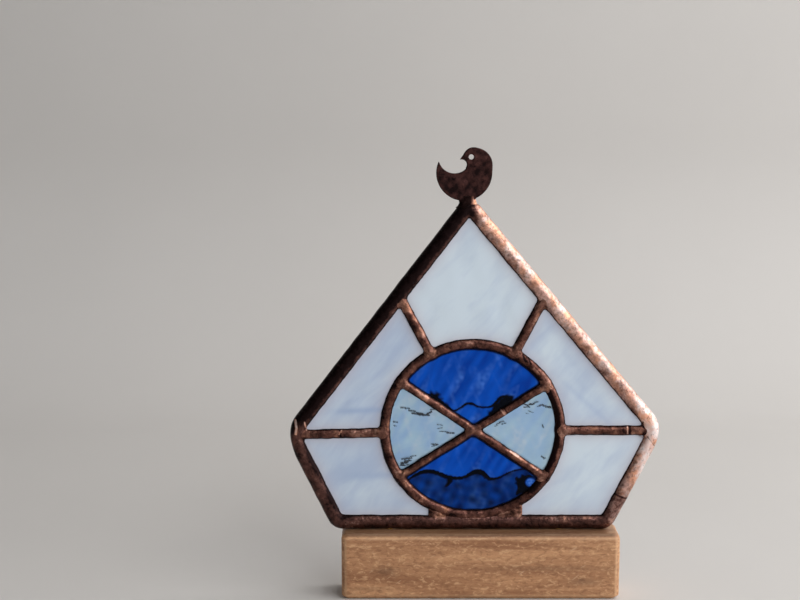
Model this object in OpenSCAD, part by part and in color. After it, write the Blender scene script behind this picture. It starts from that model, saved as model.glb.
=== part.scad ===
// Leaded glass gable panel with a round medallion and a bird finial, pinned to a wooden stand block.
// Millimetres, +Z up. The origin is the middle of the object's box, on the underside of the block.
// The panel stands in the XZ plane and is centred on Y = 0. Outlines are drawn as (x, z).

/* [Stand block] */
// Length of the block
block_len = 112; // [108:1:120]
// Depth of the block, front to back
block_deep = 18; // [16:1:24]
// Height of the block
block_high = 27; // [22:1:34]
// How far the block sits to the right of the panel's middle
block_shift = 2.4; // [0:0.2:6]
// Chamfer on the block's arrises
block_chamfer = 1.5; // [0.5:0.1:2.5]

/* [Daylight outline of the panel] */
// Half the width between the eaves corners
eaves_half = 69.5; // [68:0.1:70]
// Height of the left eaves corner above the block
eaves_left_high = 39.5; // [38:0.5:42]
// Height of the right eaves corner above the block
eaves_right_high = 41.2; // [38:0.5:43]
// Half the width between the sill corners
sill_half = 52.6; // [50:0.2:55]
// Height of the apex above the block
apex_high = 126.9; // [120:0.5:132]
// Sideways place of the apex, left of the middle as it was soldered up
apex_x = -2.9; // [-4:0.1:0]

/* [Rim] */
// Width of the rim on its face
rim_w = 6.2; // [5.8:0.1:6.6]
// Height of the rim's rounded face above the glass
rim_crown = 1.6; // [1.2:0.1:2]
// How deep the glass sits in the rim's channel
rim_slot = 2.5; // [2:0.1:3]
// Overall half width, where the eaves corners are filed flat
overall_half = 74.5; // [74:0.1:75]

/* [Glass] */
// Thickness of the glass
glass_t = 3; // [2.5:0.1:3.4]

/* [Medallion] */
// Sideways place of the medallion's centre
ring_x = -1; // [-2:0.2:1]
// Height of the medallion's centre above the block
ring_high = 41.3; // [40.5:0.1:42]
// Daylight radius of the medallion
ring_r = 33.1; // [32.5:0.1:33.5]
// Slope of the cross bar that rises to the right
rise_tilt = 32.8; // [30:0.5:36]
// Slope of the cross bar that falls to the right
fall_tilt = 34; // [30:0.5:36]

/* [Cames] */
// Face width of the ring and the mullions
came_w = 4.4; // [4:0.1:4.8]
// Height of their rounded face above the glass
came_crown = 1.2; // [1:0.1:1.4]
// Face width of the cross bars
bar_w = 3.9; // [3.6:0.1:4.2]
// Height of the cross bars' rounded face above the glass
bar_crown = 1.1; // [0.9:0.1:1.2]
// Thickness of the came's heart, between the panes
heart_t = 1; // [0.8:0.1:1.2]
// Direction of the upper right mullion from the medallion's centre
mullion_right_angle = 62.3; // [60:0.5:65]
// Direction of the upper left mullion from the medallion's centre
mullion_left_angle = 118.3; // [115:0.5:120]

/* [Solder] */
// Radius of the solder caps over the joints
cap_r = 2.7; // [2.5:0.1:3]
// Height of a solder cap above the glass
cap_crown = 1.45; // [1.3:0.05:1.6]
// How much a solder cap's dome rises from its edge to its middle
cap_rise = 0.5; // [0.3:0.05:0.8]

/* [Bird finial] */
// Thickness of the copper sheet
sheet_t = 1; // [0.8:0.1:1.2]
// Radius of the eye hole
eye_r = 1.1; // [0.9:0.1:1.3]
// Width of the neck that runs down into the apex
neck_w = 5.6; // [5:0.1:6]

/* [Locating pins] */
// Half the distance between the pins
pin_half = 34; // [25:1:40]
// Radius of the pins
pin_r = 1; // [0.9:0.05:1.1]
// How far a pin reaches down into the block
pin_reach = 10; // [6:1:14]
// Clearance round a pin in its bore
pin_gap = 0.05; // [0.03:0.01:0.1]

/* [Hidden] */

$fn = 96;

sill_z = block_high + rim_w;                   // daylight edge of the sill
sill_x = -0.9;                                 // middle of the sill's daylight edge
ring_c = [ring_x, block_high + ring_high];
ring_out = ring_r + came_w;                    // outer radius of the ring's face
ring_mid = ring_r + came_w / 2;                // radius of the ring's heart
cross_shift = 0.5;                             // the crossing sits right of the ring's centre
cross_c = ring_c + [cross_shift, 0];           // where the cross bars meet
glass_face = glass_t / 2;
far = 150;                                     // longer than any came
cut_deep = 5;                                  // half depth of a cutting slab
eaves_shift = 0.3;                             // the eaves sit left of the middle

// Daylight corners, counterclockwise from the sill's right end
corners = [
    [sill_x + sill_half, sill_z],
    [eaves_half - eaves_shift, block_high + eaves_right_high],
    [apex_x, block_high + apex_high],
    [-eaves_half - eaves_shift, block_high + eaves_left_high],
    [sill_x - sill_half, sill_z]
];
wall_right = 0;
roof_right = 1;
roof_left = 2;
wall_left = 3;
sill = 4;

function corner(i) = corners[(i + 5) % 5];
function run(i) = corner(i + 1) - corner(i);
function along(i) = run(i) / norm(run(i));
function outward(i) = [along(i).y, -along(i).x];
function heading(i) = atan2(run(i).y, run(i).x);
function polar(c, r, a) = c + r * [cos(a), sin(a)];

// How far the rim turns at corner i
function turn(i) = acos(outward(i - 1) * outward(i));

// Where a line from p at angle a meets daylight edge i
function reach(p, a, i) =
    ((corner(i) - p) * outward(i)) / ([cos(a), sin(a)] * outward(i));

right_angle = atan2(corners[1].y - ring_c.y, corners[1].x - ring_c.x);
left_angle = 180 + atan((corners[3].y - ring_c.y) / (corners[3].x - ring_c.x));
upper_right_len = reach(ring_c, mullion_right_angle, roof_right);
upper_left_len = reach(ring_c, mullion_left_angle, roof_left);

// Directions of the four half bars from the crossing
bar_angles = [rise_tilt, 180 - fall_tilt, 180 + rise_tilt, 360 - fall_tilt];

// Where each half bar meets the ring's daylight edge
function bar_end(a) = polar(cross_c, ring_r - cross_shift * cos(a), a);

roof_joint_in = 5.6;                           // from the roof rim's edge in to a mullion's cap
eaves_joint_in = 7;                            // from the eaves corner in to a mullion's cap
ring_joints = [for (a = [right_angle, mullion_right_angle, mullion_left_angle, left_angle])
    polar(ring_c, ring_out, a)];
bar_joints = [for (a = bar_angles) bar_end(a)];
rim_joints = [
    polar(ring_c, upper_right_len - roof_joint_in, mullion_right_angle),
    polar(ring_c, upper_left_len - roof_joint_in, mullion_left_angle),
    polar(ring_c, norm(corners[1] - ring_c) - eaves_joint_in, right_angle),
    polar(ring_c, norm(corners[3] - ring_c) - eaves_joint_in, left_angle)
];

cap_over = 5.6;                                // the apex cap above the daylight apex
cap_top_z = block_high + apex_high + cap_over; // where the apex cap is filed flat
tip_over = 1.1;                                // the apex pane above the daylight apex
glass_tip_z = block_high + apex_high + tip_over;
tab_clear = 0.2;                               // between the apex pane and the bird's tab
tab_z = glass_tip_z + tab_clear;               // lower end of the bird's tab
neck_shift = 0.5;                              // the bird sits left of the apex
neck_x = apex_x - neck_shift;
seat_half = 12.5;                              // half of the pane's cut-out where the ring stands
pin_set = 3;                                   // how far a pin is soldered into the sill

// Extrudes an (x, z) drawing from depth y0 back to depth y1
module slab(y0, y1) {
    translate([0, y1, 0]) rotate([90, 0, 0]) linear_extrude(height = y1 - y0) children();
}

// Carries a section (x outward, y deep) from point p along direction a
module lay(p, a, len) {
    translate([p.x, 0, p.y]) rotate([0, 90 - a, 0]) linear_extrude(height = len) children();
}

// Rounded face of width w that stands h above the glass, on the back
module bead(w, h) {
    r = (w * w / 4 + h * h) / (2 * h);
    intersection() {
        translate([0, glass_face + h - r]) circle(r);
        translate([-w, glass_face]) square([2 * w, h + 1]);
    }
}

module both_faces() {
    children();
    mirror([0, 1]) children();
}

// H section: two faces and a heart
module came_section(w, h) {
    both_faces() bead(w, h);
    square([heart_t, glass_t], center = true);
}

// U section: two faces and an outer web
module rim_section() {
    translate([rim_w / 2, 0]) both_faces() bead(rim_w, rim_crown);
    translate([rim_slot, -glass_face]) square([rim_w - rim_slot, glass_t]);
}

module rim(i) {
    lay(corner(i), heading(i), norm(run(i))) rim_section();
}

// The rim's section swung round daylight corner i, a hair clear of the corner itself
module rim_corner(i) {
    start = atan2(outward(i - 1).y, outward(i - 1).x);
    clear = 0.2;
    translate([corner(i).x, 0, corner(i).y]) rotate([90, 0, 0]) rotate(start)
        rotate_extrude(angle = turn(i)) intersection() {
            rim_section();
            translate([clear, -cut_deep]) square([rim_w, 2 * cut_deep]);
        }
}

// What is left once the eaves are filed flat at the overall width
module filed() {
    intersection() {
        children();
        translate([-overall_half, -cut_deep, block_high])
            cube([2 * overall_half, 2 * cut_deep, far]);
    }
}

module daylight() {
    polygon(corners);
}

// Outline of the glass: the daylight outline grown into the rim's channel, with its corners cut off
module glass_outline() {
    polygon([for (i = [0 : 4], k = [i - 1, i]) corner(i) + rim_slot * outward(k)]);
}

module ring_disc(r) {
    translate(ring_c) circle(r, $fn = 180);
}

module wedge(c, a0, a1) {
    polygon([c, polar(c, far, a0), polar(c, far, (a0 + a1) / 2), polar(c, far, a1)]);
}

// Gap that a came's heart leaves between panes, from c along direction a
module heart_gap(c, a) {
    translate(c) rotate(a) translate([0, -heart_t / 2]) square([far, heart_t]);
}

// Room for the solder caps at the points given, on both faces
module cap_rooms(points) {
    for (p = points, s = [-1, 1])
        translate([p.x, s * (glass_face + cut_deep / 2), p.y])
            rotate([90, 0, 0]) cylinder(h = cut_deep, r = cap_r, center = true);
}

// Domed solder caps at the points given, on both faces
module caps(points) {
    dome_r = (cap_r * cap_r + cap_rise * cap_rise) / (2 * cap_rise);
    for (p = points, s = [0, 1])
        mirror([0, s, 0]) translate([p.x, glass_face, p.y]) rotate([-90, 0, 0]) intersection() {
            cylinder(h = cap_crown + 1, r = cap_r);
            translate([0, 0, cap_crown - dome_r]) sphere(dome_r);
        }
}

// Pane of the outer field between directions a0 and a1
module field_pane(a0, a1) {
    slab(-glass_face, glass_face) difference() {
        intersection() {
            glass_outline();
            wedge(ring_c, a0, a1);
        }
        ring_disc(ring_mid + heart_t / 2);
        heart_gap(ring_c, a0);
        heart_gap(ring_c, a1);
        translate([-far, glass_tip_z]) square([2 * far, far]);
        translate([ring_x - seat_half, block_high]) square([2 * seat_half, rim_w]);
    }
}

// Pane of the medallion between half bars k and k + 1
module medallion_pane(k) {
    a0 = bar_angles[k];
    a1 = k < 3 ? bar_angles[k + 1] : bar_angles[0] + 360;
    slab(-glass_face, glass_face) difference() {
        intersection() {
            ring_disc(ring_mid - heart_t / 2);
            wedge(cross_c, a0, a1);
        }
        heart_gap(cross_c, a0);
        heart_gap(cross_c, a1);
    }
}

module apex_glass() {
    color("lavender") field_pane(mullion_right_angle, mullion_left_angle);
}

module upper_left_glass() {
    color("lavender") field_pane(mullion_left_angle, left_angle);
}

module upper_right_glass() {
    color("lavender") field_pane(right_angle, mullion_right_angle);
}

module lower_left_glass() {
    color("lavender") field_pane(left_angle, 270);
}

module lower_right_glass() {
    color("lavender") field_pane(-90, right_angle);
}

module medallion_top_glass() {
    color("royalblue") medallion_pane(0);
}

module medallion_left_glass() {
    color("lightblue") medallion_pane(1);
}

module medallion_bottom_glass() {
    color("mediumblue") medallion_pane(2);
}

module medallion_right_glass() {
    color("lightblue") medallion_pane(3);
}

// Rim of a roof slope, slit at the apex for the bird's tab
module roof_rim(i) {
    difference() {
        filed() rim(i);
        slab(-sheet_t / 2, sheet_t / 2) bird_tab();
    }
}

module roof_rim_left() {
    color("sienna") roof_rim(roof_left);
}

module roof_rim_right() {
    color("sienna") roof_rim(roof_right);
}

module wall_rim_left() {
    color("sienna") filed() rim(wall_left);
}

module wall_rim_right() {
    color("sienna") filed() rim(wall_right);
}

module sill_rim() {
    color("sienna") difference() {
        rim(sill);
        for (s = [-1, 1])
            translate([s * pin_half, 0, block_high - 1]) cylinder(h = pin_set + 1, r = pin_r);
    }
}

module bird_tab() {
    translate([neck_x - neck_w / 2, tab_z]) square([neck_w, cap_top_z - tab_z + 2]);
}

module apex_cap() {
    color("saddlebrown") difference() {
        rim_corner(2);
        translate([-far, -cut_deep, cap_top_z]) cube([2 * far, 2 * cut_deep, rim_w]);
        slab(-sheet_t / 2, sheet_t / 2) bird_tab();
    }
}

module eaves_corner_left() {
    color("peru") filed() rim_corner(3);
}

module eaves_corner_right() {
    color("peru") filed() rim_corner(1);
}

module sill_corner_left() {
    color("saddlebrown") rim_corner(4);
}

module sill_corner_right() {
    color("saddlebrown") rim_corner(0);
}

// The ring stands on the sill, so its lowest part is cut away there
module medallion_ring() {
    color("sienna") difference() {
        translate([ring_c.x, 0, ring_c.y]) rotate([90, 0, 0])
            rotate_extrude($fn = 180) translate([ring_mid, 0]) came_section(came_w, came_crown);
        slab(-cut_deep, cut_deep) translate([-far, sill_z - far]) square([2 * far, far]);
        cap_rooms(ring_joints);
        cap_rooms(bar_joints);
    }
}

// Came from the ring out to the rim, kept inside the daylight
module mullion(a) {
    intersection() {
        difference() {
            lay(ring_c, a, far) came_section(came_w, came_crown);
            slab(-cut_deep, cut_deep) ring_disc(ring_out);
            cap_rooms(ring_joints);
            cap_rooms(rim_joints);
        }
        slab(-cut_deep, cut_deep) daylight();
    }
}

module upper_left_mullion() {
    color("sienna") mullion(mullion_left_angle);
}

module upper_right_mullion() {
    color("sienna") mullion(mullion_right_angle);
}

module left_mullion() {
    color("sienna") mullion(left_angle);
}

module right_mullion() {
    color("sienna") mullion(right_angle);
}

// Full bar across the medallion
module rising_cross_bar() {
    color("sienna") intersection() {
        difference() {
            lay(polar(cross_c, -far / 2, rise_tilt), rise_tilt, far) came_section(bar_w, bar_crown);
            cap_rooms(bar_joints);
            cap_rooms([cross_c]);
        }
        slab(-cut_deep, cut_deep) ring_disc(ring_r);
    }
}

// Half bar from the full bar out to the ring
module half_bar(a) {
    intersection() {
        difference() {
            lay(cross_c, a, far) came_section(bar_w, bar_crown);
            lay(polar(cross_c, -far / 2, rise_tilt), rise_tilt, far)
                square([bar_w, 2 * cut_deep], center = true);
            cap_rooms(bar_joints);
            cap_rooms([cross_c]);
        }
        slab(-cut_deep, cut_deep) ring_disc(ring_r);
    }
}

module upper_cross_bar() {
    color("sienna") half_bar(180 - fall_tilt);
}

module lower_cross_bar() {
    color("sienna") half_bar(360 - fall_tilt);
}

module centre_solder() {
    color("peru") caps([cross_c]);
}

module medallion_solder() {
    color("peru") caps(bar_joints);
}

module ring_solder() {
    color("peru") caps(ring_joints);
}

module rim_solder() {
    color("peru") caps(rim_joints);
}

// Solder run into the two corners between the ring and the sill, on both faces
module sill_fillets() {
    fillet_high = 4.2;
    fillet_thick = 1;
    color("peru") for (s = [0, 1]) mirror([0, s, 0])
        slab(glass_face, glass_face + fillet_thick) for (span = [[-18.5, -11], [11, 20]])
            difference() {
                translate([ring_x + span[0], sill_z]) square([span[1] - span[0], fillet_high]);
                ring_disc(ring_out);
            }
}

// Bird cut from sheet: a round back, a crescent between tail and beak, and a pierced eye
module bird_finial() {
    top = block_high + apex_high;
    back_c = [-4.9, top + 17.4];
    back_r = 11;
    head_c = [-0.6, top + 20.5];
    head_r = 6.9;
    crescent_c = [-8.7, top + 23.5];
    crescent_r = 6.3;
    face_c = [-1.3, top + 23.3];
    face_r = 4.1;
    eye_c = [-2.2, top + 23.6];
    color("saddlebrown") slab(-sheet_t / 2, sheet_t / 2) difference() {
        union() {
            difference() {
                union() {
                    intersection() {
                        translate(back_c) circle(back_r);
                        translate([-far, top]) square([2 * far, 22.4]);
                    }
                    translate(head_c) circle(head_r);
                }
                translate(crescent_c) circle(crescent_r);
            }
            translate(face_c) circle(face_r);
            polygon([[-4.7, top + 25.3], [-6.7, top + 22.6], [-4.4, top + 21.4], [-2, top + 23]]);
            bird_tab();
        }
        translate(eye_c) circle(eye_r);
    }
}

// Solder wedges that hold the sheet to the apex cap, front and back
module finial_solder() {
    rise = 3;
    spread = 1.8;
    color("peru") for (s = [0, 1]) mirror([0, s, 0])
        translate([neck_x - neck_w / 2 + 0.3, 0, cap_top_z])
            rotate([90, 0, 90]) linear_extrude(height = neck_w - 0.6)
                polygon([[sheet_t / 2, 0], [sheet_t / 2 + spread, 0], [sheet_t / 2, rise]]);
}

module pin(s) {
    translate([s * pin_half, 0, block_high - pin_reach])
        cylinder(h = pin_reach + pin_set, r = pin_r);
}

module locating_pin_left() {
    color("goldenrod") pin(-1);
}

module locating_pin_right() {
    color("goldenrod") pin(1);
}

// Rectangle a by b with its corners cut off at 45 degrees
module chamfered(a, b) {
    c = block_chamfer;
    polygon([
        [-a / 2 + c, -b / 2], [a / 2 - c, -b / 2], [a / 2, -b / 2 + c], [a / 2, b / 2 - c],
        [a / 2 - c, b / 2], [-a / 2 + c, b / 2], [-a / 2, b / 2 - c], [-a / 2, -b / 2 + c]
    ]);
}

module stand_block() {
    bore_spare = 2;
    color("burlywood") difference() {
        translate([block_shift, 0, block_high / 2]) intersection() {
            linear_extrude(height = block_high, center = true) chamfered(block_len, block_deep);
            rotate([90, 0, 0]) linear_extrude(height = block_deep, center = true)
                chamfered(block_len, block_high);
            rotate([90, 0, 90]) linear_extrude(height = block_len, center = true)
                chamfered(block_deep, block_high);
        }
        for (s = [-1, 1])
            translate([s * pin_half, 0, block_high - pin_reach - bore_spare])
                cylinder(h = pin_reach + bore_spare + 1, r = pin_r + pin_gap);
    }
}

apex_glass();
upper_left_glass();
upper_right_glass();
lower_left_glass();
lower_right_glass();
medallion_top_glass();
medallion_bottom_glass();
medallion_left_glass();
medallion_right_glass();
roof_rim_left();
roof_rim_right();
wall_rim_left();
wall_rim_right();
sill_rim();
apex_cap();
eaves_corner_left();
eaves_corner_right();
sill_corner_left();
sill_corner_right();
medallion_ring();
upper_left_mullion();
upper_right_mullion();
left_mullion();
right_mullion();
rising_cross_bar();
upper_cross_bar();
lower_cross_bar();
centre_solder();
medallion_solder();
ring_solder();
rim_solder();
sill_fillets();
bird_finial();
finial_solder();
locating_pin_left();
locating_pin_right();
stand_block();
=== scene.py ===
# Leaded glass gable panel with a round medallion and a cut copper bird, pinned to a wooden stand block.
# Shapes are worked out in millimetres, x to the right, y to the back, z up, and made in metres.
import math
import re

import bpy
import numpy as np
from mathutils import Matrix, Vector


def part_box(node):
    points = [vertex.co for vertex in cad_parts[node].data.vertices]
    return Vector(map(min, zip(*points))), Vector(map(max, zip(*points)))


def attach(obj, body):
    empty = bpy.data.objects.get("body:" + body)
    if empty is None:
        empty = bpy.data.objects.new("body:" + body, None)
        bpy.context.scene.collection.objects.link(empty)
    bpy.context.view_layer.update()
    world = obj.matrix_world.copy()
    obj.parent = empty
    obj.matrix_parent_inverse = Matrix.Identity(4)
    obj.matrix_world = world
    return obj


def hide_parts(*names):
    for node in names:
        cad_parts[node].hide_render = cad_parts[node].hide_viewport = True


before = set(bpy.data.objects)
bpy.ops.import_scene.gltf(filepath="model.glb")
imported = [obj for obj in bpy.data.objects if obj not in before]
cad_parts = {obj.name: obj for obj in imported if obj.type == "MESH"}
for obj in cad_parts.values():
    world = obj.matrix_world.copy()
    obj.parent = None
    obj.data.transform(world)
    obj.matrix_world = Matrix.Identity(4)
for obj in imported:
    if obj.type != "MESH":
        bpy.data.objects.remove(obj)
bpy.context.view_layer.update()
mm = 0.001
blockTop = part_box("stand_block")[1].z / mm

panel = {
    # the rim's inner corners above the block: right sill, right eaves, apex, left eaves, left sill
    "corners": [(51.7, 6.2), (69.2, 41.2), (-2.9, 126.9), (-69.8, 39.5), (-53.5, 6.2)],
    "ringCentre": (-1.0, 41.3),
    "ringMiddle": 35.15,     # radius of the ring's middle line
    "crossShift": 0.5,       # the crossing sits right of the ring's centre
    "mullionTurns": (62.3, 118.3),
    "barTurns": (32.8, 146.0, 212.8, 326.0),
    "glassFace": 1.5,
    "overallHalf": 74.4,
    "capTop": 132.6,
    "eavesRound": 3.0,       # how softly the filed eaves run into the outline
    "apexRound": 1.0,
    "outlineWander": 0.07,
    "mullionPast": 2.4,      # how far a mullion runs on under the rim
}
metal = {
    "rimWide": 6.2, "rimRise": 1.6,
    "ringWide": 4.15, "ringRise": 1.15,
    "cameWide": 4.0, "cameRise": 1.15,
    "barWide": 3.45, "barRise": 1.05,
    "fillet": 1.3,           # how far solder fills the angle between two cames
    "wander": 0.10,          # how far an edge strays from its line
    "lump": 0.12,            # lumps in a bead, as a share of its height
    "ripple": 0.05,          # fine ripples
    "sink": 0.3,             # how far a came dives under another
    "cornerReach": 5.0,      # how far inside the daylight corner its lines meet
    "rollWide": 4.4,         # how far the rim's rolled outer edge reaches over its face
    "step": 0.28,            # along a came
    "grooveDeep": 0.45, "grooveWide": 0.3,
    "fineFade": 0.8,         # ripples and grooves fade out this near to an edge
    "grooveFade": 0.5,
    "rollLump": 0.03, "rollPower": 2.2,
    "diveFrom": -0.12, "diveTo": 0.6,
    "sharpAngle": 48,
}
# tone of the copper, and painted light and shade on it as if lit from the right
toneAndPaintedLight = {
    "foot": 0.2, "leftInnerShade": 0.8,           # painted shade on the rim
    "paintedLight": 0.55, "eavesHighlight": 1.0,      # painted highlights on the rim
    "cameTone": 0.22, "ringTone": 0.14, "ringShadow": 1.1,
    "rimFlank": 0.3, "cameFlank": 0.5,       # painted light: how much brighter a flank is drawn that faces right
}

corners = np.array(panel["corners"]) + [0, blockTop]
runs = np.roll(corners, -1, axis=0) - corners
runLengths = np.linalg.norm(runs, axis=1)
alongs = runs / runLengths[:, None]
outwards = np.stack([alongs[:, 1], -alongs[:, 0]], axis=1)
ringCentre = np.array(panel["ringCentre"]) + [0, blockTop]
crossing = ringCentre + [panel["crossShift"], 0]
ringMiddle = panel["ringMiddle"]


def unit(degrees):
    turn = np.radians(degrees)
    return np.stack([np.cos(turn), np.sin(turn)], axis=-1)


def towards(start, end):
    return math.degrees(math.atan2(end[1] - start[1], end[0] - start[0]))


def smoothStep(low, high, x):
    t = np.clip((x - low) / (high - low), 0, 1)
    return t * t * (3 - 2 * t)


def smoothMin(a, b, k):
    # the smaller of a and b, rounded off where they differ by less than k
    h = np.clip(k - np.abs(a - b), 0, None) / k
    return np.minimum(a, b) - h * h * k / 4


def waves(points, size, seed, count=16):
    # sum of cosine waves of random heading and phase, each about `size` mm long, mostly within -1 to 1
    random = np.random.default_rng(seed)
    heading = random.normal(size=(count, points.shape[-1]))
    heading /= np.linalg.norm(heading, axis=1, keepdims=True)
    number = 2 * np.pi / size * random.uniform(0.6, 1.6, (count, 1))
    phase = random.uniform(0, 2 * np.pi, count)
    return np.cos(points @ (heading * number).T + phase).sum(-1) / math.sqrt(2 * count)


def withSide(p, side):
    # the two faces of the panel get their own waves
    return np.concatenate([p, np.full(p.shape[:-1] + (1,), 37.0 * side)], axis=-1)


def segmentDistance(p, a, b):
    run = np.asarray(b) - a
    share = np.clip((p - a) @ run / (run @ run), 0, 1)
    return np.linalg.norm(p - a - share[..., None] * run, axis=-1)


def markDistance(p, a, b):
    # distance to a line whose ends are given above the block
    return segmentDistance(p, np.array(a) + [0, blockTop], np.array(b) + [0, blockTop])


def reachRim(start, turn):
    # distance from start along turn to the daylight outline
    heading = unit(turn)
    gaps = np.einsum("ij,ij->i", corners - start, outwards)
    slopes = outwards @ heading
    return min(g / s for g, s in zip(gaps, slopes) if s > 0.05)


mullionTurns = [panel["mullionTurns"][0], panel["mullionTurns"][1],
                towards(ringCentre, corners[3]) % 360, towards(ringCentre, corners[1])]
mullionEnds = [ringCentre + unit(t) * (reachRim(ringCentre, t) + panel["mullionPast"])
               for t in mullionTurns]
mullionStarts = [ringCentre + unit(t) * ringMiddle for t in mullionTurns]


def barEnd(turn):
    # where a bar from the crossing meets the ring's middle line
    return crossing + unit(turn) * (ringMiddle - panel["crossShift"] * math.cos(math.radians(turn)))


barEnds = [barEnd(t) for t in panel["barTurns"]]

# Every came: its name, its ends, half its width and how high its bead stands
mullionNames = ["upperRightMullion", "upperLeftMullion", "leftMullion", "rightMullion"]
mullionShape = (metal["cameWide"] / 2, metal["cameRise"])
barShape = (metal["barWide"] / 2, metal["barRise"])
cames = [(name, *ends, *mullionShape) for name, *ends in zip(mullionNames, mullionStarts, mullionEnds)]
cames += [("risingCrossBar", barEnds[2], barEnds[0], *barShape),
          ("upperCrossBar", crossing, barEnds[1], *barShape),
          ("lowerCrossBar", crossing, barEnds[3], *barShape)]
halfWidths = np.array([metal["rimWide"] / 2, metal["ringWide"] / 2] + [c[3] for c in cames])
rises = np.array([metal["rimRise"], metal["ringRise"]] + [c[4] for c in cames])

# Butt joints in the cames: two ends of a line across the came, and how deep the groove is
buttJoints = [((-54.2, 44.2), (-53.8, 37.6), 0.35), ((60.5, 44.6), (60.9, 38.8), 0.25),
              ((61.9, 44.6), (62.0, 38.8), 0.45), ((67.2, 44.8), (67.3, 38.8), 0.35),
              ((68.6, 46.2), (71.2, 50.1), 0.5), ((69.0, 38.9), (72.2, 34.9), 0.55),
              ((72.2, 36.5), (73.8, 37.4), 0.3), ((56.6, 15.0), (64.0, 12.0), 0.4),
              ((10.9, 51.2), (13.0, 48.4), 0.3), ((18.6, 72.4), (19.8, 69.4), 0.3),
              ((20.9, 71.4), (21.9, 68.6), 0.25), ((-66.3, 44.0), (-66.0, 38.0), 0.35)]
# Painted highlights on the metal: two ends of a line, half its width and how bright it is
paintedHighlights = [((-71.9, 45.4), (-71.5, 42.6), 0.40, 3.0), ((-71.5, 42.6), (-71.8, 39.9), 0.32, 2.6),
          ((-68.2, 44.8), (-67.0, 39.5), 0.25, 1.6),
          ((-54.3, 39.9), (-53.5, 41.4), 0.30, 1.2), ((60.9, 43.4), (61.1, 39.2), 0.30, 1.2),
          ((9.9, 50.2), (12.1, 47.6), 0.30, 1.0), ((-65.4, 63.0), (-64.6, 64.4), 0.25, 1.4),
          ((23.2, 66.6), (29.6, 58.6), 0.55, 0.8), ((19.2, 8.4), (21.4, 7.6), 0.60, 1.0),
          ((-33.4, 26.4), (-27.6, 18.4), 0.50, 0.6), ((31.0, 20.4), (33.6, 25.6), 0.50, 0.7),
          ((14.6, 33.0), (17.4, 31.0), 0.60, 0.7), ((23.0, 27.0), (25.6, 25.2), 0.60, 0.6),
          ((8.6, 37.4), (10.6, 36.2), 0.50, 0.6), ((72.2, 46.6), (72.6, 39.6), 1.50, 1.3)]


def cameDistances(p):
    # signed distance to the edge of the rim, the ring and each came, negative in the metal
    edges = np.einsum("...ij,ij->...i", p[..., None, :] - corners, outwards)
    rim = -edges[..., 0]
    for i in range(1, len(corners)):
        rim = smoothMin(rim, -edges[..., i], 0.8 * metal["fillet"])
    ring = np.abs(np.linalg.norm(p - ringCentre, axis=-1) - ringMiddle) - metal["ringWide"] / 2
    return np.stack([rim, ring] + [segmentDistance(p, c[1], c[2]) - c[3] for c in cames], axis=-1)


def metalEdge(p):
    # signed distance to the edge of all the metal together, with filled angles and a wandering edge,
    # and the half width and rise of the came that is nearest
    distances = cameDistances(p)
    edge = distances[..., 0]
    for i in range(1, distances.shape[-1]):
        edge = smoothMin(edge, distances[..., i], metal["fillet"])
    nearness = np.exp(-np.clip(distances - distances.min(-1, keepdims=True), 0, 12) / 0.5)
    nearness /= nearness.sum(-1, keepdims=True)
    wander = metal["wander"] * (waves(p, 8, 11) + 0.5 * waves(p, 2.6, 12))
    return edge + wander, nearness @ halfWidths, nearness @ rises


def outerRoom(p):
    # distance in from the panel's outer outline, which is filed flat at the eaves and over the apex
    nearest = np.min([segmentDistance(p, corners[i], corners[(i + 1) % 5]) for i in range(5)], axis=0)
    outside = np.einsum("...ij,ij->...i", p[..., None, :] - corners, outwards).max(-1) > 0
    room = metal["rimWide"] - np.where(outside, nearest, -nearest)
    room = smoothMin(room, panel["overallHalf"] - np.abs(p[..., 0]), panel["eavesRound"])
    room = smoothMin(room, blockTop + panel["capTop"] - p[..., 1], panel["apexRound"])
    return room - panel["outlineWander"] * (1 + waves(p, 9, 15))


def jointGroove(p):
    groove = np.zeros(p.shape[:-1])
    for a, b, deep in buttJoints:
        cut = np.exp(-(markDistance(p, a, b) / metal["grooveWide"]) ** 2)
        groove = np.maximum(groove, metal["grooveDeep"] * deep * cut)
    return groove


def faceHeight(p, side):
    # height of the metal above the panel's middle plane: an arc across each came, rolled over at the
    # outline
    edge, half, rise = metalEdge(p)
    inward = np.clip(-edge, 0, half)
    radius = (half ** 2 + rise ** 2) / (2 * rise)
    bead = np.sqrt(radius ** 2 - (half - inward) ** 2) - (radius - rise)
    place = withSide(p, side)
    bead = bead * (1 + metal["lump"] * waves(place, 6, 21))
    bead = bead + metal["ripple"] * waves(place, 1.9, 22) * np.clip(inward / metal["fineFade"], 0, 1)
    if side < 0:
        bead = bead - jointGroove(p) * np.clip(inward / metal["grooveFade"], 0, 1)
    near = np.clip(outerRoom(p) / metal["rollWide"], 0, 1)
    top = panel["glassFace"] + metal["rimRise"]
    roll = top * np.sqrt(np.clip(1 - (1 - near) ** metal["rollPower"], 0, 1))
    roll = roll * (1 + metal["rollLump"] * waves(place, 5, 23))
    return np.clip(smoothMin(panel["glassFace"] + bead, roll, 0.5 * np.clip(near * 4, 0.02, 1)), 0, None)


def dive(p, own):
    # how far came number `own` keeps under its neighbours: the rim lies over all cames but the ring,
    # and elsewhere the nearer came lies on top
    distances = cameDistances(p)
    if own == 0:
        under = np.maximum(distances[..., 0], distances[..., 0] - distances[..., 1])
    else:
        others = np.delete(distances, own, axis=-1)
        under = distances[..., own] - others.min(-1)
        if own > 1:
            under = np.maximum(under, -distances[..., 0])
    return metal["sink"] * smoothStep(metal["diveFrom"], metal["diveTo"], under)


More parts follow.
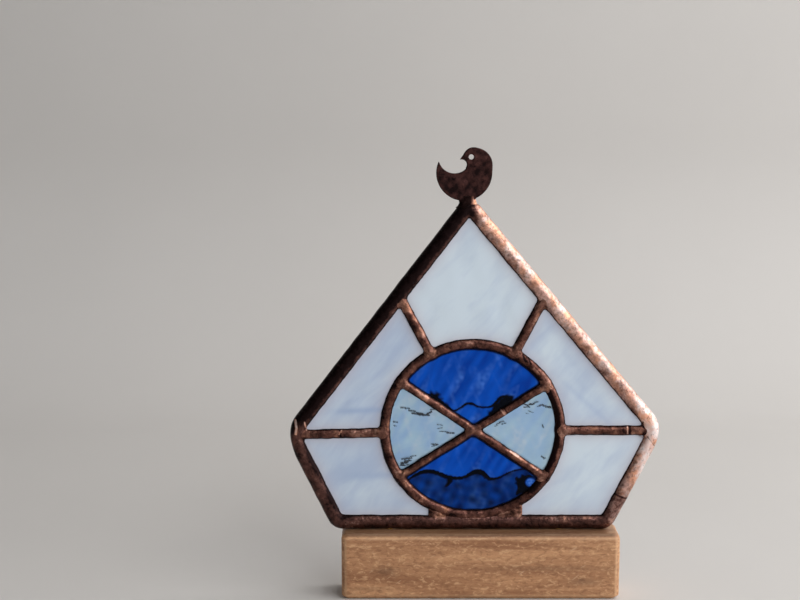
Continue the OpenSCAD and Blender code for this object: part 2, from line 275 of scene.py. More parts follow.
def rimPaintedLight(p):
    # painted light and shade: from 1, nearly black painted shade, on the left slope's outer part to below
    # -1, a bright painted highlight, at the right eaves
    up, x = p[..., 1] - blockTop, p[..., 0]
    depth = metal["rimWide"] - outerRoom(p)
    # painted shade on the left roof slope, darkest on its outer part
    slope = smoothStep(0.8, -2.6, x) * smoothStep(36, 48, up)
    slope = slope * (0.35 + 0.65 * smoothStep(0.8, 2.4, depth))
    inner = smoothStep(2.6, 0.8, depth) * smoothStep(-44, -52, x)
    # painted shade along the sill and on the inner edge of the left wall rim
    foot = (toneAndPaintedLight["foot"] * smoothStep(54, 44, x) + toneAndPaintedLight["leftInnerShade"] * inner) * smoothStep(46, 36, up)
    eaves = smoothStep(63, 69, x) * smoothStep(58, 50, up)
    # painted highlight over the right side, strongest at the right eaves
    paintedLight = toneAndPaintedLight["paintedLight"] + toneAndPaintedLight["eavesHighlight"] * eaves
    return np.maximum(slope, foot) - paintedLight * smoothStep(-1.5, 2.0, x) * smoothStep(7, 20, up)


def cameTarnishAndShade(p, own):
    # mottled tarnish all over, and painted shade, nearly black, along the inner side of the ring's right
    # part
    mottled = toneAndPaintedLight["cameTone"] - 0.4 * np.clip(waves(p, 8, 31), 0, 1) + 0.12 * waves(p, 4, 32)
    if own != 1:
        return mottled
    out = p - ringCentre
    radius = np.linalg.norm(out, axis=-1)
    shadow = smoothStep(0.5, -0.8, radius - ringMiddle) * smoothStep(0.6, 0.85, out[..., 0] / radius)
    return mottled + toneAndPaintedLight["ringTone"] + toneAndPaintedLight["ringShadow"] * shadow


def paintedHighlight(p):
    # painted highlights: how bright each point is drawn
    bright = np.zeros(p.shape[:-1])
    for a, b, half, level in paintedHighlights:
        away = smoothStep(half * 0.6, half * 1.6, markDistance(p, a, b))
        bright = np.maximum(bright, level * (1 - away))
    return bright


def searchEdge(start, heading, low, high, inside):
    # halves the span again and again to find where `inside` stops being true along each line
    low, high = np.full(len(start), float(low)), np.full(len(start), float(high))
    for _ in range(18):
        middle = (low + high) / 2
        here = inside(start + heading * middle[:, None])
        low, high = np.where(here, middle, low), np.where(here, high, middle)
    return (low + high) / 2


def inMetal(p):
    return metalEdge(p)[0] < 0


def outOfMetal(p):
    return metalEdge(p)[0] > 0


def inOutline(p):
    return outerRoom(p) > 0


def closedSections(p, front, back):
    # rows of points over the front and home over the back, (rows, 2 x columns, 3)
    near = np.stack([p[..., 0], -front, p[..., 1]], axis=-1)
    rear = np.stack([p[..., 0], back, p[..., 1]], axis=-1)[:, ::-1]
    return np.concatenate([near, rear], axis=1)


def beadSections(start, heading, first, last, columns, own):
    # cross sections of a came between offsets first and last on each line, closer together at its edges
    share = (1 - np.cos(np.linspace(0, np.pi, columns))) / 2
    offset = first[:, None] + (last - first)[:, None] * share
    p = start[:, None, :] + heading[:, None, :] * offset[..., None]
    under = dive(p, own)
    front, back = faceHeight(p, -1) - under, faceHeight(p, 1) - under
    crest = np.clip(-metalEdge(p)[0] / 1.6, 0, 1)
    groove = np.clip(jointGroove(p) / 0.3, 0, 1)
    # painted light: flanks that face right are drawn brighter and flanks that face left darker, as if lit
    # from the right
    steep = -np.gradient(front, axis=1) / np.gradient(offset, axis=1)
    paintedLight = np.clip(steep * (heading @ np.array([0.94, 0.34]))[:, None], -1, 1)
    if own == 0:
        tarnishandlight = rimPaintedLight(p) - toneAndPaintedLight["rimFlank"] * paintedLight - paintedHighlight(p)
    else:
        tarnishandlight = cameTarnishAndShade(p, own) - toneAndPaintedLight["cameFlank"] * paintedLight - paintedHighlight(p)
    return (closedSections(p, np.maximum(front, 0.03), np.maximum(back, 0.03)),
            {"crest": np.concatenate([crest, crest[:, ::-1]], axis=1),
             "groove": np.concatenate([groove, 0 * groove], axis=1),
             "tarnishandlight": np.concatenate([tarnishandlight, tarnishandlight[:, ::-1]], axis=1)})


def skinFaces(rows, columns, wrapRows, caps):
    # quads between neighbouring rows of closed loops, and quads or a fan over each end
    index = np.arange(rows * columns).reshape(rows, columns)
    nextColumn = np.roll(index, -1, axis=1)
    a = index if wrapRows else index[:-1]
    b = np.roll(index, -1, axis=0) if wrapRows else index[1:]
    c = np.roll(nextColumn, -1, axis=0) if wrapRows else nextColumn[1:]
    d = nextColumn if wrapRows else nextColumn[:-1]
    quads = [np.stack([a, b, c, d], axis=-1).reshape(-1, 4)]
    if caps == "flat":
        # an end is closed by quads between its front half and its back half
        half = columns // 2
        for row, turned in ((index[0], False), (index[-1], True)):
            near, rear = row[:half], row[::-1][:half]
            quad = np.stack([near[:-1], near[1:], rear[1:], rear[:-1]], axis=-1)
            quads.append(quad[:, ::-1] if turned else quad)
    return np.concatenate(quads)


def makeMesh(name, patches, material, body="panel"):
    # one object from several skins, each (points, masks, wrapRows, caps); it stands for the CAD node
    # whose name is the same but for underscores
    allPoints, allQuads, allTris, masks, offset = [], [], [], {}, 0
    for points, shades, wrapRows, caps in patches:
        rows, columns = points.shape[:2]
        flat = points.reshape(-1, 3)
        quads = skinFaces(rows, columns, wrapRows, caps)
        tris = np.zeros((0, 3), int)
        if caps == "poles":
            flat = np.concatenate([flat, points[:1].mean(1), points[-1:].mean(1)])
            index = np.arange(rows * columns).reshape(rows, columns)
            ends = []
            for end, (row, turned) in enumerate(((index[0], False), (index[-1], True))):
                fan = np.stack([row, np.roll(row, -1), np.full(columns, rows * columns + end)], axis=-1)
                ends.append(fan[:, ::-1] if turned else fan)
            tris = np.concatenate(ends)
        # signed volume says whether the faces look outwards
        corner = flat[quads]
        volume = np.einsum("ij,ij->", corner[:, 0], np.cross(corner[:, 1], corner[:, 2]))
        volume += np.einsum("ij,ij->", corner[:, 0], np.cross(corner[:, 2], corner[:, 3]))
        if len(tris):
            corner = flat[tris]
            volume += np.einsum("ij,ij->", corner[:, 0], np.cross(corner[:, 1], corner[:, 2]))
        if volume < 0:
            quads, tris = quads[:, ::-1], tris[:, ::-1]
        allPoints.append(flat)
        allQuads.append(quads + offset)
        allTris.append(tris + offset)
        for key, value in shades.items():
            spare = np.full(len(flat) - rows * columns, float(np.mean(value)))
            masks.setdefault(key, []).append(np.concatenate([np.asarray(value, float).ravel(), spare]))
        offset += len(flat)
    points = np.concatenate(allPoints) * mm
    quads, tris = np.concatenate(allQuads), np.concatenate(allTris)
    mesh = bpy.data.meshes.new(name)
    mesh.vertices.add(len(points))
    mesh.vertices.foreach_set("co", points.astype(np.float32).ravel())
    loops = np.concatenate([quads.ravel(), tris.ravel()])
    mesh.loops.add(len(loops))
    mesh.loops.foreach_set("vertex_index", loops.astype(np.int32))
    sizes = np.concatenate([np.full(len(quads), 4), np.full(len(tris), 3)])
    mesh.polygons.add(len(sizes))
    mesh.polygons.foreach_set("loop_start", (np.cumsum(sizes) - sizes).astype(np.int32))
    for key, parts in masks.items():
        values = np.concatenate(parts).astype(np.float32)
        mesh.attributes.new(key, "FLOAT", "POINT").data.foreach_set("value", values)
    mesh.update(calc_edges=True)
    mesh.validate()
    mesh.set_sharp_from_angle(angle=math.radians(metal["sharpAngle"]))
    piece = bpy.data.objects.new(name, mesh)
    bpy.context.scene.collection.objects.link(piece)
    mesh.materials.append(material)
    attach(piece, body)
    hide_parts(re.sub("([A-Z])", r"_\1", name).lower())
    return piece


def feed(tree, socket, value):
    # links a socket to another, or sets its plain value
    if isinstance(value, bpy.types.NodeSocket):
        tree.links.new(value, socket)
    else:
        socket.default_value = value


def addNode(tree, kind, inputs=None, **settings):
    # adds a shader node, sets its settings and feeds its inputs
    node = tree.nodes.new(kind)
    for key, value in settings.items():
        setattr(node, key, value)
    for key, value in (inputs or {}).items():
        feed(tree, node.inputs[key], value)
    return node


def noise(tree, place, size, detail=4.0, roughness=0.55, distortion=0.0):
    # soft noise with patches about `size` mm across
    inputs = {"Vector": place, "Scale": 0.6 / (size * mm), "Detail": detail, "Roughness": roughness,
              "Distortion": distortion}
    return addNode(tree, "ShaderNodeTexNoise", inputs).outputs["Fac"]


def spread(tree, value, low, high, first=0.0, last=1.0):
    # runs from first to last while the value goes from low to high, and stays there outside
    inputs = {"Value": value, "From Min": low, "From Max": high, "To Min": first, "To Max": last}
    return addNode(tree, "ShaderNodeMapRange", inputs, clamp=True).outputs["Result"]


def calc(tree, operation, a, b):
    return addNode(tree, "ShaderNodeMath", {0: a, 1: b}, operation=operation).outputs[0]


def blendColour(tree, share, a, b):
    # from colour a to colour b; a plain colour is given as three numbers
    a, b = ((*c, 1) if isinstance(c, tuple) else c for c in (a, b))
    return addNode(tree, "ShaderNodeMix", {0: share, 6: a, 7: b}, data_type="RGBA").outputs[2]


def stretched(tree, place, scale):
    return addNode(tree, "ShaderNodeMapping", {"Vector": place, "Scale": scale}).outputs["Vector"]


def aslant(tree, place, degrees):
    # a place turned about y, so that streaks can run aslant
    turn = (0, math.radians(degrees), 0)
    return addNode(tree, "ShaderNodeMapping", {"Vector": place, "Rotation": turn}).outputs["Vector"]


def newGroup(name, takes, gives):
    # a node group with named inputs, each with its kind and usual value, and named outputs
    group = bpy.data.node_groups.new(name, "ShaderNodeTree")
    for key, kind, value in takes:
        socket = group.interface.new_socket(key, in_out="INPUT", socket_type=kind)
        if value is not None:
            socket.default_value = value
    for key, kind in gives:
        group.interface.new_socket(key, in_out="OUTPUT", socket_type=kind)
    return group, group.nodes.new("NodeGroupInput"), group.nodes.new("NodeGroupOutput")


def newMaterial(name, sockets):
    # a material, its tree, its shader with those plain values, and the place of each point
    material = bpy.data.materials.new(name)
    material.use_nodes = True
    tree = material.node_tree
    shader = tree.nodes["Principled BSDF"]
    for key, value in sockets.items():
        shader.inputs[key].default_value = value
    place = addNode(tree, "ShaderNodeTexCoord").outputs["Object"]
    return material, tree, shader, place


def mask(tree, name):
    return addNode(tree, "ShaderNodeAttribute", attribute_name=name).outputs["Fac"]


def bump(tree, shader, height, deep):
    # `deep` in mm is the height that 1 stands for
    node = addNode(tree, "ShaderNodeBump", {"Height": height, "Strength": 1.0, "Distance": deep * mm})
    tree.links.new(node.outputs["Normal"], shader.inputs["Normal"])


def patinaGroup():
    # tarnished copper: dark in the hollows and edges, brown on the faces, bright on the lumps; its tarnish
    # input also brings painted light and shade, and a low value paints a pale, less metallic highlight
    group, takes, gives = newGroup("patina", [
        ("Place", "NodeSocketVector", None), ("Crest", "NodeSocketFloat", 0.5),
        ("Groove", "NodeSocketFloat", 0.0), ("TarnishAndLight", "NodeSocketFloat", 0.0),
        ("Dark", "NodeSocketColor", (0.02, 0.01, 0.01, 1)),
        ("Brown", "NodeSocketColor", (0.2, 0.1, 0.08, 1)),
        ("Bright", "NodeSocketColor", (0.8, 0.5, 0.4, 1)),
        ("Warm", "NodeSocketColor", (0.8, 0.4, 0.25, 1)),
        ("Pale", "NodeSocketColor", (0.9, 0.8, 0.75, 1))],
        [("Color", "NodeSocketColor"), ("Roughness", "NodeSocketFloat"), ("Metallic", "NodeSocketFloat"),
         ("Height", "NodeSocketFloat")])
    place, crest, groove = takes.outputs["Place"], takes.outputs["Crest"], takes.outputs["Groove"]
    tarnishandlight, dark = takes.outputs["TarnishAndLight"], takes.outputs["Dark"]
    blotch = noise(group, place, 4.0, 5.0, 0.65)
    speck = noise(group, place, 0.9, 4.0, 0.7)
    toneAndShade = calc(group, "ADD", calc(group, "MULTIPLY", blotch, 0.75), calc(group, "MULTIPLY", speck, 0.45))
    toneAndShade = calc(group, "ADD", toneAndShade, spread(group, crest, 0.0, 0.4, -0.34, 0.06))
    toneAndShade = calc(group, "SUBTRACT", toneAndShade, calc(group, "MULTIPLY", tarnishandlight, 0.32))
    toneAndShade = calc(group, "SUBTRACT", toneAndShade, calc(group, "MULTIPLY", groove, 0.6))
    colour = blendColour(group, spread(group, toneAndShade, 0.42, 0.66), dark, takes.outputs["Brown"])
    warm = spread(group, noise(group, place, 5.0, 3.0, 0.6, 0.4), 0.46, 0.60)
    bright = blendColour(group, warm, takes.outputs["Bright"], takes.outputs["Warm"])
    # pale patches: partly the copper's own colour, partly a painted highlight where the tarnish input is low
    tint = noise(group, place, 3.4, 5.0, 0.66, 0.5)
    tint = calc(group, "SUBTRACT", tint, calc(group, "MULTIPLY", tarnishandlight, 0.11))
    pale = spread(group, tint, 0.57, 0.80)
    bright = blendColour(group, pale, bright, takes.outputs["Pale"])
    share = spread(group, toneAndShade, 0.66, 0.96)
    colour = blendColour(group, share, colour, bright)
    pits = spread(group, noise(group, place, 0.7, 4.0, 0.75), 0.38, 0.46, 1.0, 0.0)
    pitted = calc(group, "MULTIPLY", pits, spread(group, tarnishandlight, -0.6, 0.1, 0.38, 0.6))
    colour = blendColour(group, pitted, colour, dark)
    group.links.new(colour, gives.inputs["Color"])
    group.links.new(spread(group, speck, 0.3, 0.7, 0.26, 0.55), gives.inputs["Roughness"])
    group.links.new(spread(group, calc(group, "MULTIPLY", pale, share), 0.0, 1.0, 0.96, 0.35),
                    gives.inputs["Metallic"])
    height = calc(group, "SUBTRACT", calc(group, "MULTIPLY", noise(group, place, 1.5, 5.0, 0.6), 0.7),
                  calc(group, "MULTIPLY", pits, 0.3))
    group.links.new(height, gives.inputs["Height"])
    return group


patina = patinaGroup()


def patinaMetal(name, colours, deep):
    # colours from the darkest hollows to the palest patches and painted highlights; `deep` is the depth of
    # lumps and pits
    material, tree, shader, place = newMaterial(name, {})
    look = addNode(tree, "ShaderNodeGroup", node_tree=patina)
    tree.links.new(place, look.inputs["Place"])
    for key in ("Crest", "Groove", "TarnishAndLight"):
        tree.links.new(mask(tree, key.lower()), look.inputs[key])
    for key, value in zip(("Dark", "Brown", "Bright", "Warm", "Pale"), colours):
        look.inputs[key].default_value = (*value, 1)
    tree.links.new(look.outputs["Color"], shader.inputs["Base Color"])
    tree.links.new(look.outputs["Roughness"], shader.inputs["Roughness"])
    tree.links.new(look.outputs["Metallic"], shader.inputs["Metallic"])
    bump(tree, shader, look.outputs["Height"], deep)
    return material


rimMetal = patinaMetal("rimCopper", [(0.016, 0.008, 0.008), (0.15, 0.068, 0.055), (0.80, 0.50, 0.42),
                                     (0.82, 0.42, 0.28), (0.92, 0.79, 0.76)], 0.22)
seamMetal = patinaMetal("seamCopper", [(0.014, 0.006, 0.006), (0.17, 0.072, 0.054), (0.70, 0.39, 0.29),
                                       (0.66, 0.30, 0.17), (0.88, 0.66, 0.58)], 0.16)
solderMetal = patinaMetal("solderCopper", [(0.018, 0.008, 0.007), (0.19, 0.085, 0.062), (0.74, 0.43, 0.32),
                                           (0.70, 0.34, 0.20), (0.90, 0.72, 0.64)], 0.18)
birdMetal = patinaMetal("birdCopper", [(0.020, 0.010, 0.010), (0.090, 0.038, 0.034), (0.20, 0.085, 0.075),
                                       (0.12, 0.05, 0.035), (0.22, 0.13, 0.11)], 0.06)


def glassMaterial(name, colours, markAndRefraction, transmission, roughness, gloss, deep, turn):
    # cast glass: soft streaks of two colours drawn out along `turn`, moved by a mask of light and dark,
    # pale wisps, and a mask for marks and for painted refraction: dark ridges and dashes of what lies behind
    sockets = {"Metallic": 0.0, "IOR": 1.5, "Transmission Weight": transmission,
               "Specular IOR Level": gloss, "Roughness": roughness}
    material, tree, shader, place = newMaterial(name, sockets)
    drawn = stretched(tree, aslant(tree, place, turn), (0.3, 1, 1))
    wisps = noise(tree, drawn, 9.0, 4.0, 0.55, 0.6)
    fine = noise(tree, drawn, 3.0, 3.0, 0.6, 0.3)
    share = calc(tree, "ADD", calc(tree, "MULTIPLY", wisps, 0.7), calc(tree, "MULTIPLY", fine, 0.3))
    share = calc(tree, "ADD", share, calc(tree, "MULTIPLY", mask(tree, "light"), 0.16))
    colour = blendColour(tree, spread(tree, share, 0.32, 0.68), colours[0], colours[1])
    colour = blendColour(tree, mask(tree, "pale"), colour, colours[2])
    colour = blendColour(tree, mask(tree, "markAndRefraction"), colour, markAndRefraction)
    tree.links.new(colour, shader.inputs["Base Color"])
    bump(tree, shader, noise(tree, place, 7.0, 3.0, 0.5), deep)
    return material


opalGlass = glassMaterial("opalGlass", [(0.52, 0.64, 0.84), (0.78, 0.90, 1.0), (0.66, 0.60, 0.66)],
                          (0.40, 0.53, 0.78), 0.10, 0.16, 0.4, 0.05, 50)
cobaltGlass = glassMaterial("cobaltGlass", [(0.002, 0.050, 0.39), (0.004, 0.098, 0.62), (0.09, 0.27, 0.85)],
                            (0.001, 0.002, 0.006), 0.12, 0.05, 0.0, 0.10, 60)
clearGlass = glassMaterial("clearGlass", [(0.43, 0.67, 1.0), (0.57, 0.82, 1.0), (0.80, 0.90, 1.0)],
                           (0.003, 0.004, 0.008), 0.70, 0.03, 0.25, 0.12, 20)


def woodMaterial():
    # long grain along x, short dark flecks, darker bands and a few pale scratches
    material, tree, shader, place = newMaterial("blockWood", {"Metallic": 0.0})
    bands = noise(tree, stretched(tree, place, (0.08, 0.6, 1.0)), 5.0, 4.0, 0.6, 0.8)
    flecks = noise(tree, stretched(tree, place, (0.42, 1.0, 0.9)), 0.62, 3.0, 0.6, 0.6)
    fibre = noise(tree, stretched(tree, place, (0.05, 1.0, 1.0)), 0.8, 4.0, 0.7)
    colour = blendColour(tree, spread(tree, bands, 0.36, 0.60), (0.34, 0.150, 0.066), (0.60, 0.31, 0.150))
    colour = blendColour(tree, spread(tree, flecks, 0.54, 0.66, 0.0, 0.5), colour, (0.22, 0.088, 0.034))
    colour = blendColour(tree, spread(tree, flecks, 0.34, 0.46, 0.6, 0.0), colour, (0.78, 0.47, 0.25))
    colour = blendColour(tree, spread(tree, fibre, 0.5, 0.75, 0.0, 0.3), colour, (0.34, 0.16, 0.075))
    scratch = noise(tree, stretched(tree, aslant(tree, place, 35), (0.12, 1.0, 1.0)), 0.6, 1.0, 0.4)
    colour = blendColour(tree, spread(tree, scratch, 0.70, 0.74, 0.0, 0.45), colour, (0.70, 0.46, 0.28))
    colour = blendColour(tree, calc(tree, "MULTIPLY", mask(tree, "arris"), 0.6), colour, (0.70, 0.43, 0.24))
    # painted shadow along the panel's foot and in the bores, together with the darker knots and bands
    colour = blendColour(tree, mask(tree, "toneAndShade"), colour, (0.035, 0.016, 0.010))
    tree.links.new(colour, shader.inputs["Base Color"])
    tree.links.new(spread(tree, fibre, 0.2, 0.8, 0.42, 0.62), shader.inputs["Roughness"])
    height = calc(tree, "SUBTRACT", calc(tree, "MULTIPLY", fibre, 0.5), calc(tree, "MULTIPLY", flecks, 0.5))
    bump(tree, shader, height, 0.22)
    return material


def brassMaterial():
    # drawn rod, with fine lines along z
    material, tree, shader, place = newMaterial("pinBrass", {"Metallic": 1.0})
    drawn = noise(tree, stretched(tree, place, (1.0, 1.0, 0.1)), 0.4, 3.0, 0.6)
    colour = blendColour(tree, spread(tree, drawn, 0.3, 0.7), (0.62, 0.42, 0.16), (0.85, 0.64, 0.30))
    tree.links.new(colour, shader.inputs["Base Color"])
    tree.links.new(spread(tree, drawn, 0.3, 0.7, 0.2, 0.38), shader.inputs["Roughness"])
    bump(tree, shader, drawn, 0.02)
    return material


blockWood, pinBrass = woodMaterial(), brassMaterial()

print("rim")
rim = {"names": ["wallRimRight", "roofRimRight", "roofRimLeft", "wallRimLeft", "sillRim"],
       "cornerNames": ["sillCornerRight", "eavesCornerRight", "apexCap", "eavesCornerLeft",
                       "sillCornerLeft"],
       "columns": 34, "cornerLines": 70,
       "pastGlass": 1.4, "pastOutline": 1,      # how far past its edges a straight rim's edge is looked for
       "innerSearch": (0, 10), "outerSearch": (9.0, 30),     # the same for a corner, from its pivot
       "cornerGap": 0.06}       # keeps a corner's lines from meeting in one point


def cornerSpan(i):
    # how much of each straight rim belongs to corner i
    cosTurn = outwards[i - 1] @ outwards[i]
    return metal["cornerReach"] * math.sqrt((1 - cosTurn) / (1 + cosTurn))


def makeStraightRim(i):
    # cross sections set square to the side, from the glass to the outline
    start, end = cornerSpan(i), runLengths[i] - cornerSpan((i + 1) % 5)
    s = np.linspace(start, end, int((end - start) / metal["step"]))
    middle = metal["rimWide"] / 2
    line = corners[i] + alongs[i] * s[:, None] + outwards[i] * middle
    heading = np.repeat(outwards[i][None], len(s), axis=0)
    first = -searchEdge(line, -heading, 0, middle + rim["pastGlass"], inMetal)
    last = searchEdge(line, heading, 0, middle + rim["pastOutline"], inOutline)
    points, shades = beadSections(line, heading, first, last, rim["columns"], own=0)
    makeMesh(rim["names"][i], [(points, shades, False, "flat")], rimMetal)


def makeCorner(i):
    # cross sections fanned out from a pivot inside the corner
    bisector = outwards[i - 1] + outwards[i]
    pivot = corners[i] - metal["cornerReach"] * bisector / (1 + outwards[i - 1] @ outwards[i])
    startTurn = towards((0, 0), outwards[i - 1])
    swing = math.degrees(math.acos(outwards[i - 1] @ outwards[i]))
    heading = unit(np.linspace(startTurn, startTurn + swing, rim["cornerLines"]))
    line = np.repeat(pivot[None], len(heading), axis=0)
    first = np.maximum(searchEdge(line, heading, *rim["innerSearch"], outOfMetal), rim["cornerGap"])
    last = searchEdge(line, heading, *rim["outerSearch"], inOutline)
    points, shades = beadSections(line, heading, first, last, rim["columns"], own=0)
    makeMesh(rim["cornerNames"][i], [(points, shades, False, "flat")], rimMetal)


for i in range(5):
    makeStraightRim(i)
    makeCorner(i)

print("ring, mullions and bars")
came = {"columns": 26, "reach": 1.3}


def makeRing():
    turns = np.linspace(0, 360, int(2 * np.pi * ringMiddle / metal["step"]), endpoint=False)
    heading = unit(turns)
    line = ringCentre + heading * ringMiddle
    reach = metal["ringWide"] / 2 + came["reach"]
    first = -searchEdge(line, -heading, 0, reach, inMetal)
    last = searchEdge(line, heading, 0, reach, inMetal)
    points, shades = beadSections(line, heading, first, last, came["columns"], own=1)
    makeMesh("medallionRing", [(points, shades, True, "none")], seamMetal)


def makeCame(k):
    name, start, end, half, _ = cames[k]
    length = np.linalg.norm(end - start)
    along = (end - start) / length
    s = np.linspace(0, length, int(length / metal["step"]))
    line = start + along * s[:, None]
    heading = np.repeat(np.array([along[1], -along[0]])[None], len(s), axis=0)
    first = -searchEdge(line, -heading, 0, half + came["reach"], inMetal)
    last = searchEdge(line, heading, 0, half + came["reach"], inMetal)
    points, shades = beadSections(line, heading, first, last, came["columns"], own=2 + k)
    makeMesh(name, [(points, shades, False, "flat")], seamMetal)


makeRing()
for k in range(len(cames)):
    makeCame(k)

print("solder joints")
joint = {"radius": 2.9, "rise": 0.3, "deep": 0.7, "ragged": 0.14, "rows": 14, "around": 56,
         # how far back from a came's end a dome sits
         "fromBar": 1.8, "fromRing": 0.4, "fromRim": 3.4, "fromEaves": 6.4}


def solderDome(centre, side, seed, radius=None, rise=None):
    # a low dome on the metal, no wider than the metal under it, closed by its own sunken copy
    turns = np.linspace(0, 360, joint["around"], endpoint=False)
    heading = unit(turns)
    radius, rise = radius or joint["radius"], rise or joint["rise"]
    edge = radius * (1 + joint["ragged"] * waves(heading * 2, 3, seed))
    line = np.repeat(centre[None], len(turns), axis=0)
    room = searchEdge(line, heading, 0, radius * 1.4, lambda p: metalEdge(p)[0] < -0.15)
    edge = np.minimum(edge, room)
    share = np.sin(np.linspace(0.02, np.pi / 2, joint["rows"]))
    p = centre + heading[None] * (edge * share[:, None])[..., None]
    height = faceHeight(p, side)
    dome = rise * (1 - share[:, None] ** 2) + 0.06 * waves(withSide(p, side), 2.4, seed + 1) - 0.03
    top, under = height + dome, height - joint["deep"]
    points = np.concatenate([np.stack([p[..., 0], side * top, p[..., 1]], -1),
                             np.stack([p[..., 0], side * under, p[..., 1]], -1)[::-1]])
    crest = np.repeat(0.6 + 0.4 * (1 - share[:, None] ** 2), len(turns), axis=1)
    return points, {"crest": np.concatenate([crest, crest[::-1]]),
                    "groove": np.zeros(points.shape[:2])}, False, "poles"


def makeDomes(name, places, seed, **sizes):
    # a dome at each place, on the front and on the back
    patches = [solderDome(np.asarray(place), side, seed + 7 * n + side, **sizes)
               for n, place in enumerate(places) for side in (-1, 1)]
    makeMesh(name, patches, solderMetal)


ringOut = ringMiddle + metal["ringWide"] / 2
barPlaces = [crossing + unit(t) * (np.linalg.norm(barEnd(t) - crossing) - joint["fromBar"])
             for t in panel["barTurns"]]
ringPlaces = [ringCentre + unit(t) * (ringOut - joint["fromRing"]) for t in mullionTurns]
rimPlaces = [mullionEnds[k] - unit(mullionTurns[k]) * joint[back]
             for k, back in ((0, "fromRim"), (1, "fromRim"), (3, "fromEaves"), (2, "fromEaves"))]
makeDomes("centreSolder", [crossing], 301, radius=3.4, rise=0.42)
makeDomes("medallionSolder", barPlaces, 401)
makeDomes("ringSolder", ringPlaces, 501)
makeDomes("rimSolder", rimPlaces, 601, rise=0.22)

print("sill fillets and finial solder")
fillet = {"spans": [(-17.6, -10.5), (20.4, 10.5)],      # free end and near end, from the ring's centre
          "rise": 0.8, "lump": 0.10, "edge": 1.6, "sunk": 1.0, "least": 0.6, "rows": 34, "columns": 20}


def sillFillet(far, near):
    # solder between the ring and the sill: thick at its free end, thin where the two cames meet
    x = np.linspace(far, near, fillet["rows"])
    low = blockTop + metal["rimWide"] - fillet["sunk"]
    ringUnder = ringCentre[1] - np.sqrt(ringOut ** 2 - x ** 2) + fillet["sunk"]
    share = np.linspace(0, 1, fillet["columns"])
    z = low + (np.maximum(ringUnder, low + fillet["least"]) - low)[:, None] * share
    p = np.stack([np.repeat((ringCentre[0] + x)[:, None], fillet["columns"], axis=1), z], -1)
    inward = np.clip(np.abs(x - far)[:, None] / fillet["edge"], 0.02, 1)
    plate = panel["glassFace"] + fillet["rise"] * np.sqrt(1 - (1 - inward) ** 2)
    front = plate * (1 + fillet["lump"] * waves(withSide(p, -1), 2.6, 71))
    back = plate * (1 + fillet["lump"] * waves(withSide(p, 1), 2.6, 72))
    points = closedSections(p, front, back)
    crest = np.clip(0.45 + 0.35 * waves(points, 3, 73), 0, 1)
    # mottled tarnish, and a painted highlight at the fillet's near end
    paintedLight = np.exp(-np.abs(points[..., 0] - ringCentre[0] - 20) / 1.2)
    tarnishandlight = 0.25 * waves(points, 3.4, 74) - 0.5 * paintedLight
    return points, {"crest": crest, "groove": 0 * crest, "tarnishandlight": tarnishandlight}, False, "flat"


makeMesh("sillFillets", [sillFillet(*span) for span in fillet["spans"]], solderMetal)

finial = {"neckX": -3.4, "topHalf": 2.95, "topDeep": 0.62, "flare": 1.5, "flareDeep": 2.2,
          "base": 130.6, "high": 4.6, "lump": 0.05, "rows": 30, "around": 72}


def makeFinialSolder():
    # superellipse rings round the bird's neck, wide at the apex and drawn in upwards
    v = np.linspace(0, 1, finial["rows"])[:, None]
    turn = np.linspace(0, 2 * np.pi, finial["around"], endpoint=False)[None]
    wide = finial["topHalf"] + finial["flare"] * (1 - v) ** 2
    deep = finial["topDeep"] + finial["flareDeep"] * (1 - v) ** 2.4
    cos, sin = np.cos(turn), np.sin(turn)
    x = finial["neckX"] + wide * np.sign(cos) * np.abs(cos) ** 0.8
    y = deep * np.sign(sin) * np.abs(sin) ** 0.9
    z = blockTop + finial["base"] + finial["high"] * v + 0 * turn
    points = np.stack([x, y, z], -1)
    points[..., :2] *= (1 + finial["lump"] * waves(points, 2.5, 81))[..., None]
    crest = np.full(points.shape[:2], 0.55)
    # painted shade on the left and middle of the solder, and a painted highlight on its right
    tarnishandlight = smoothStep(-1.4, -2.6, points[..., 0]) - 0.7 * smoothStep(-1.8, -0.6, points[..., 0])
    shades = {"crest": crest, "groove": 0 * crest, "tarnishandlight": tarnishandlight}
    makeMesh("finialSolder", [(points, shades, False, "poles")], solderMetal)


makeFinialSolder()

print("bird")
bird = {"base": 126.9, "half": 0.5, "backCentre": (-4.9, 17.4), "backRadius": 11.0, "backTop": 22.4,
        "headCentre": (-0.6, 20.36), "headRadius": 6.8, "faceCentre": (-1.3, 23.28), "faceRadius": 4.1,
        "crescentCentre": (-8.7, 23.5), "crescentRadius": 6.3,
        "throatCentre": (-5.95, 20.6), "throatRadius": 2.0,
        "gulletCentre": (-3.3, 20.2), "gulletRadius": 1.5, "pivot": (-8.2, 21.6),
        "beak": [(-4.7, 25.3), (-6.7, 22.6), (-4.4, 21.4), (-2.0, 23.0)],
        "neck": (-6.2, -0.6, 0.0, 12.0), "eye": (-2.2, 23.6), "eyeRadius": 1.02,
        "sweep": (-200, 80, 5600), "reach": (0.2, 30, 1200),
        "lines": 420, "columns": 90, "edge": 0.4, "dent": 0.10, "eyeWalls": 0.2}


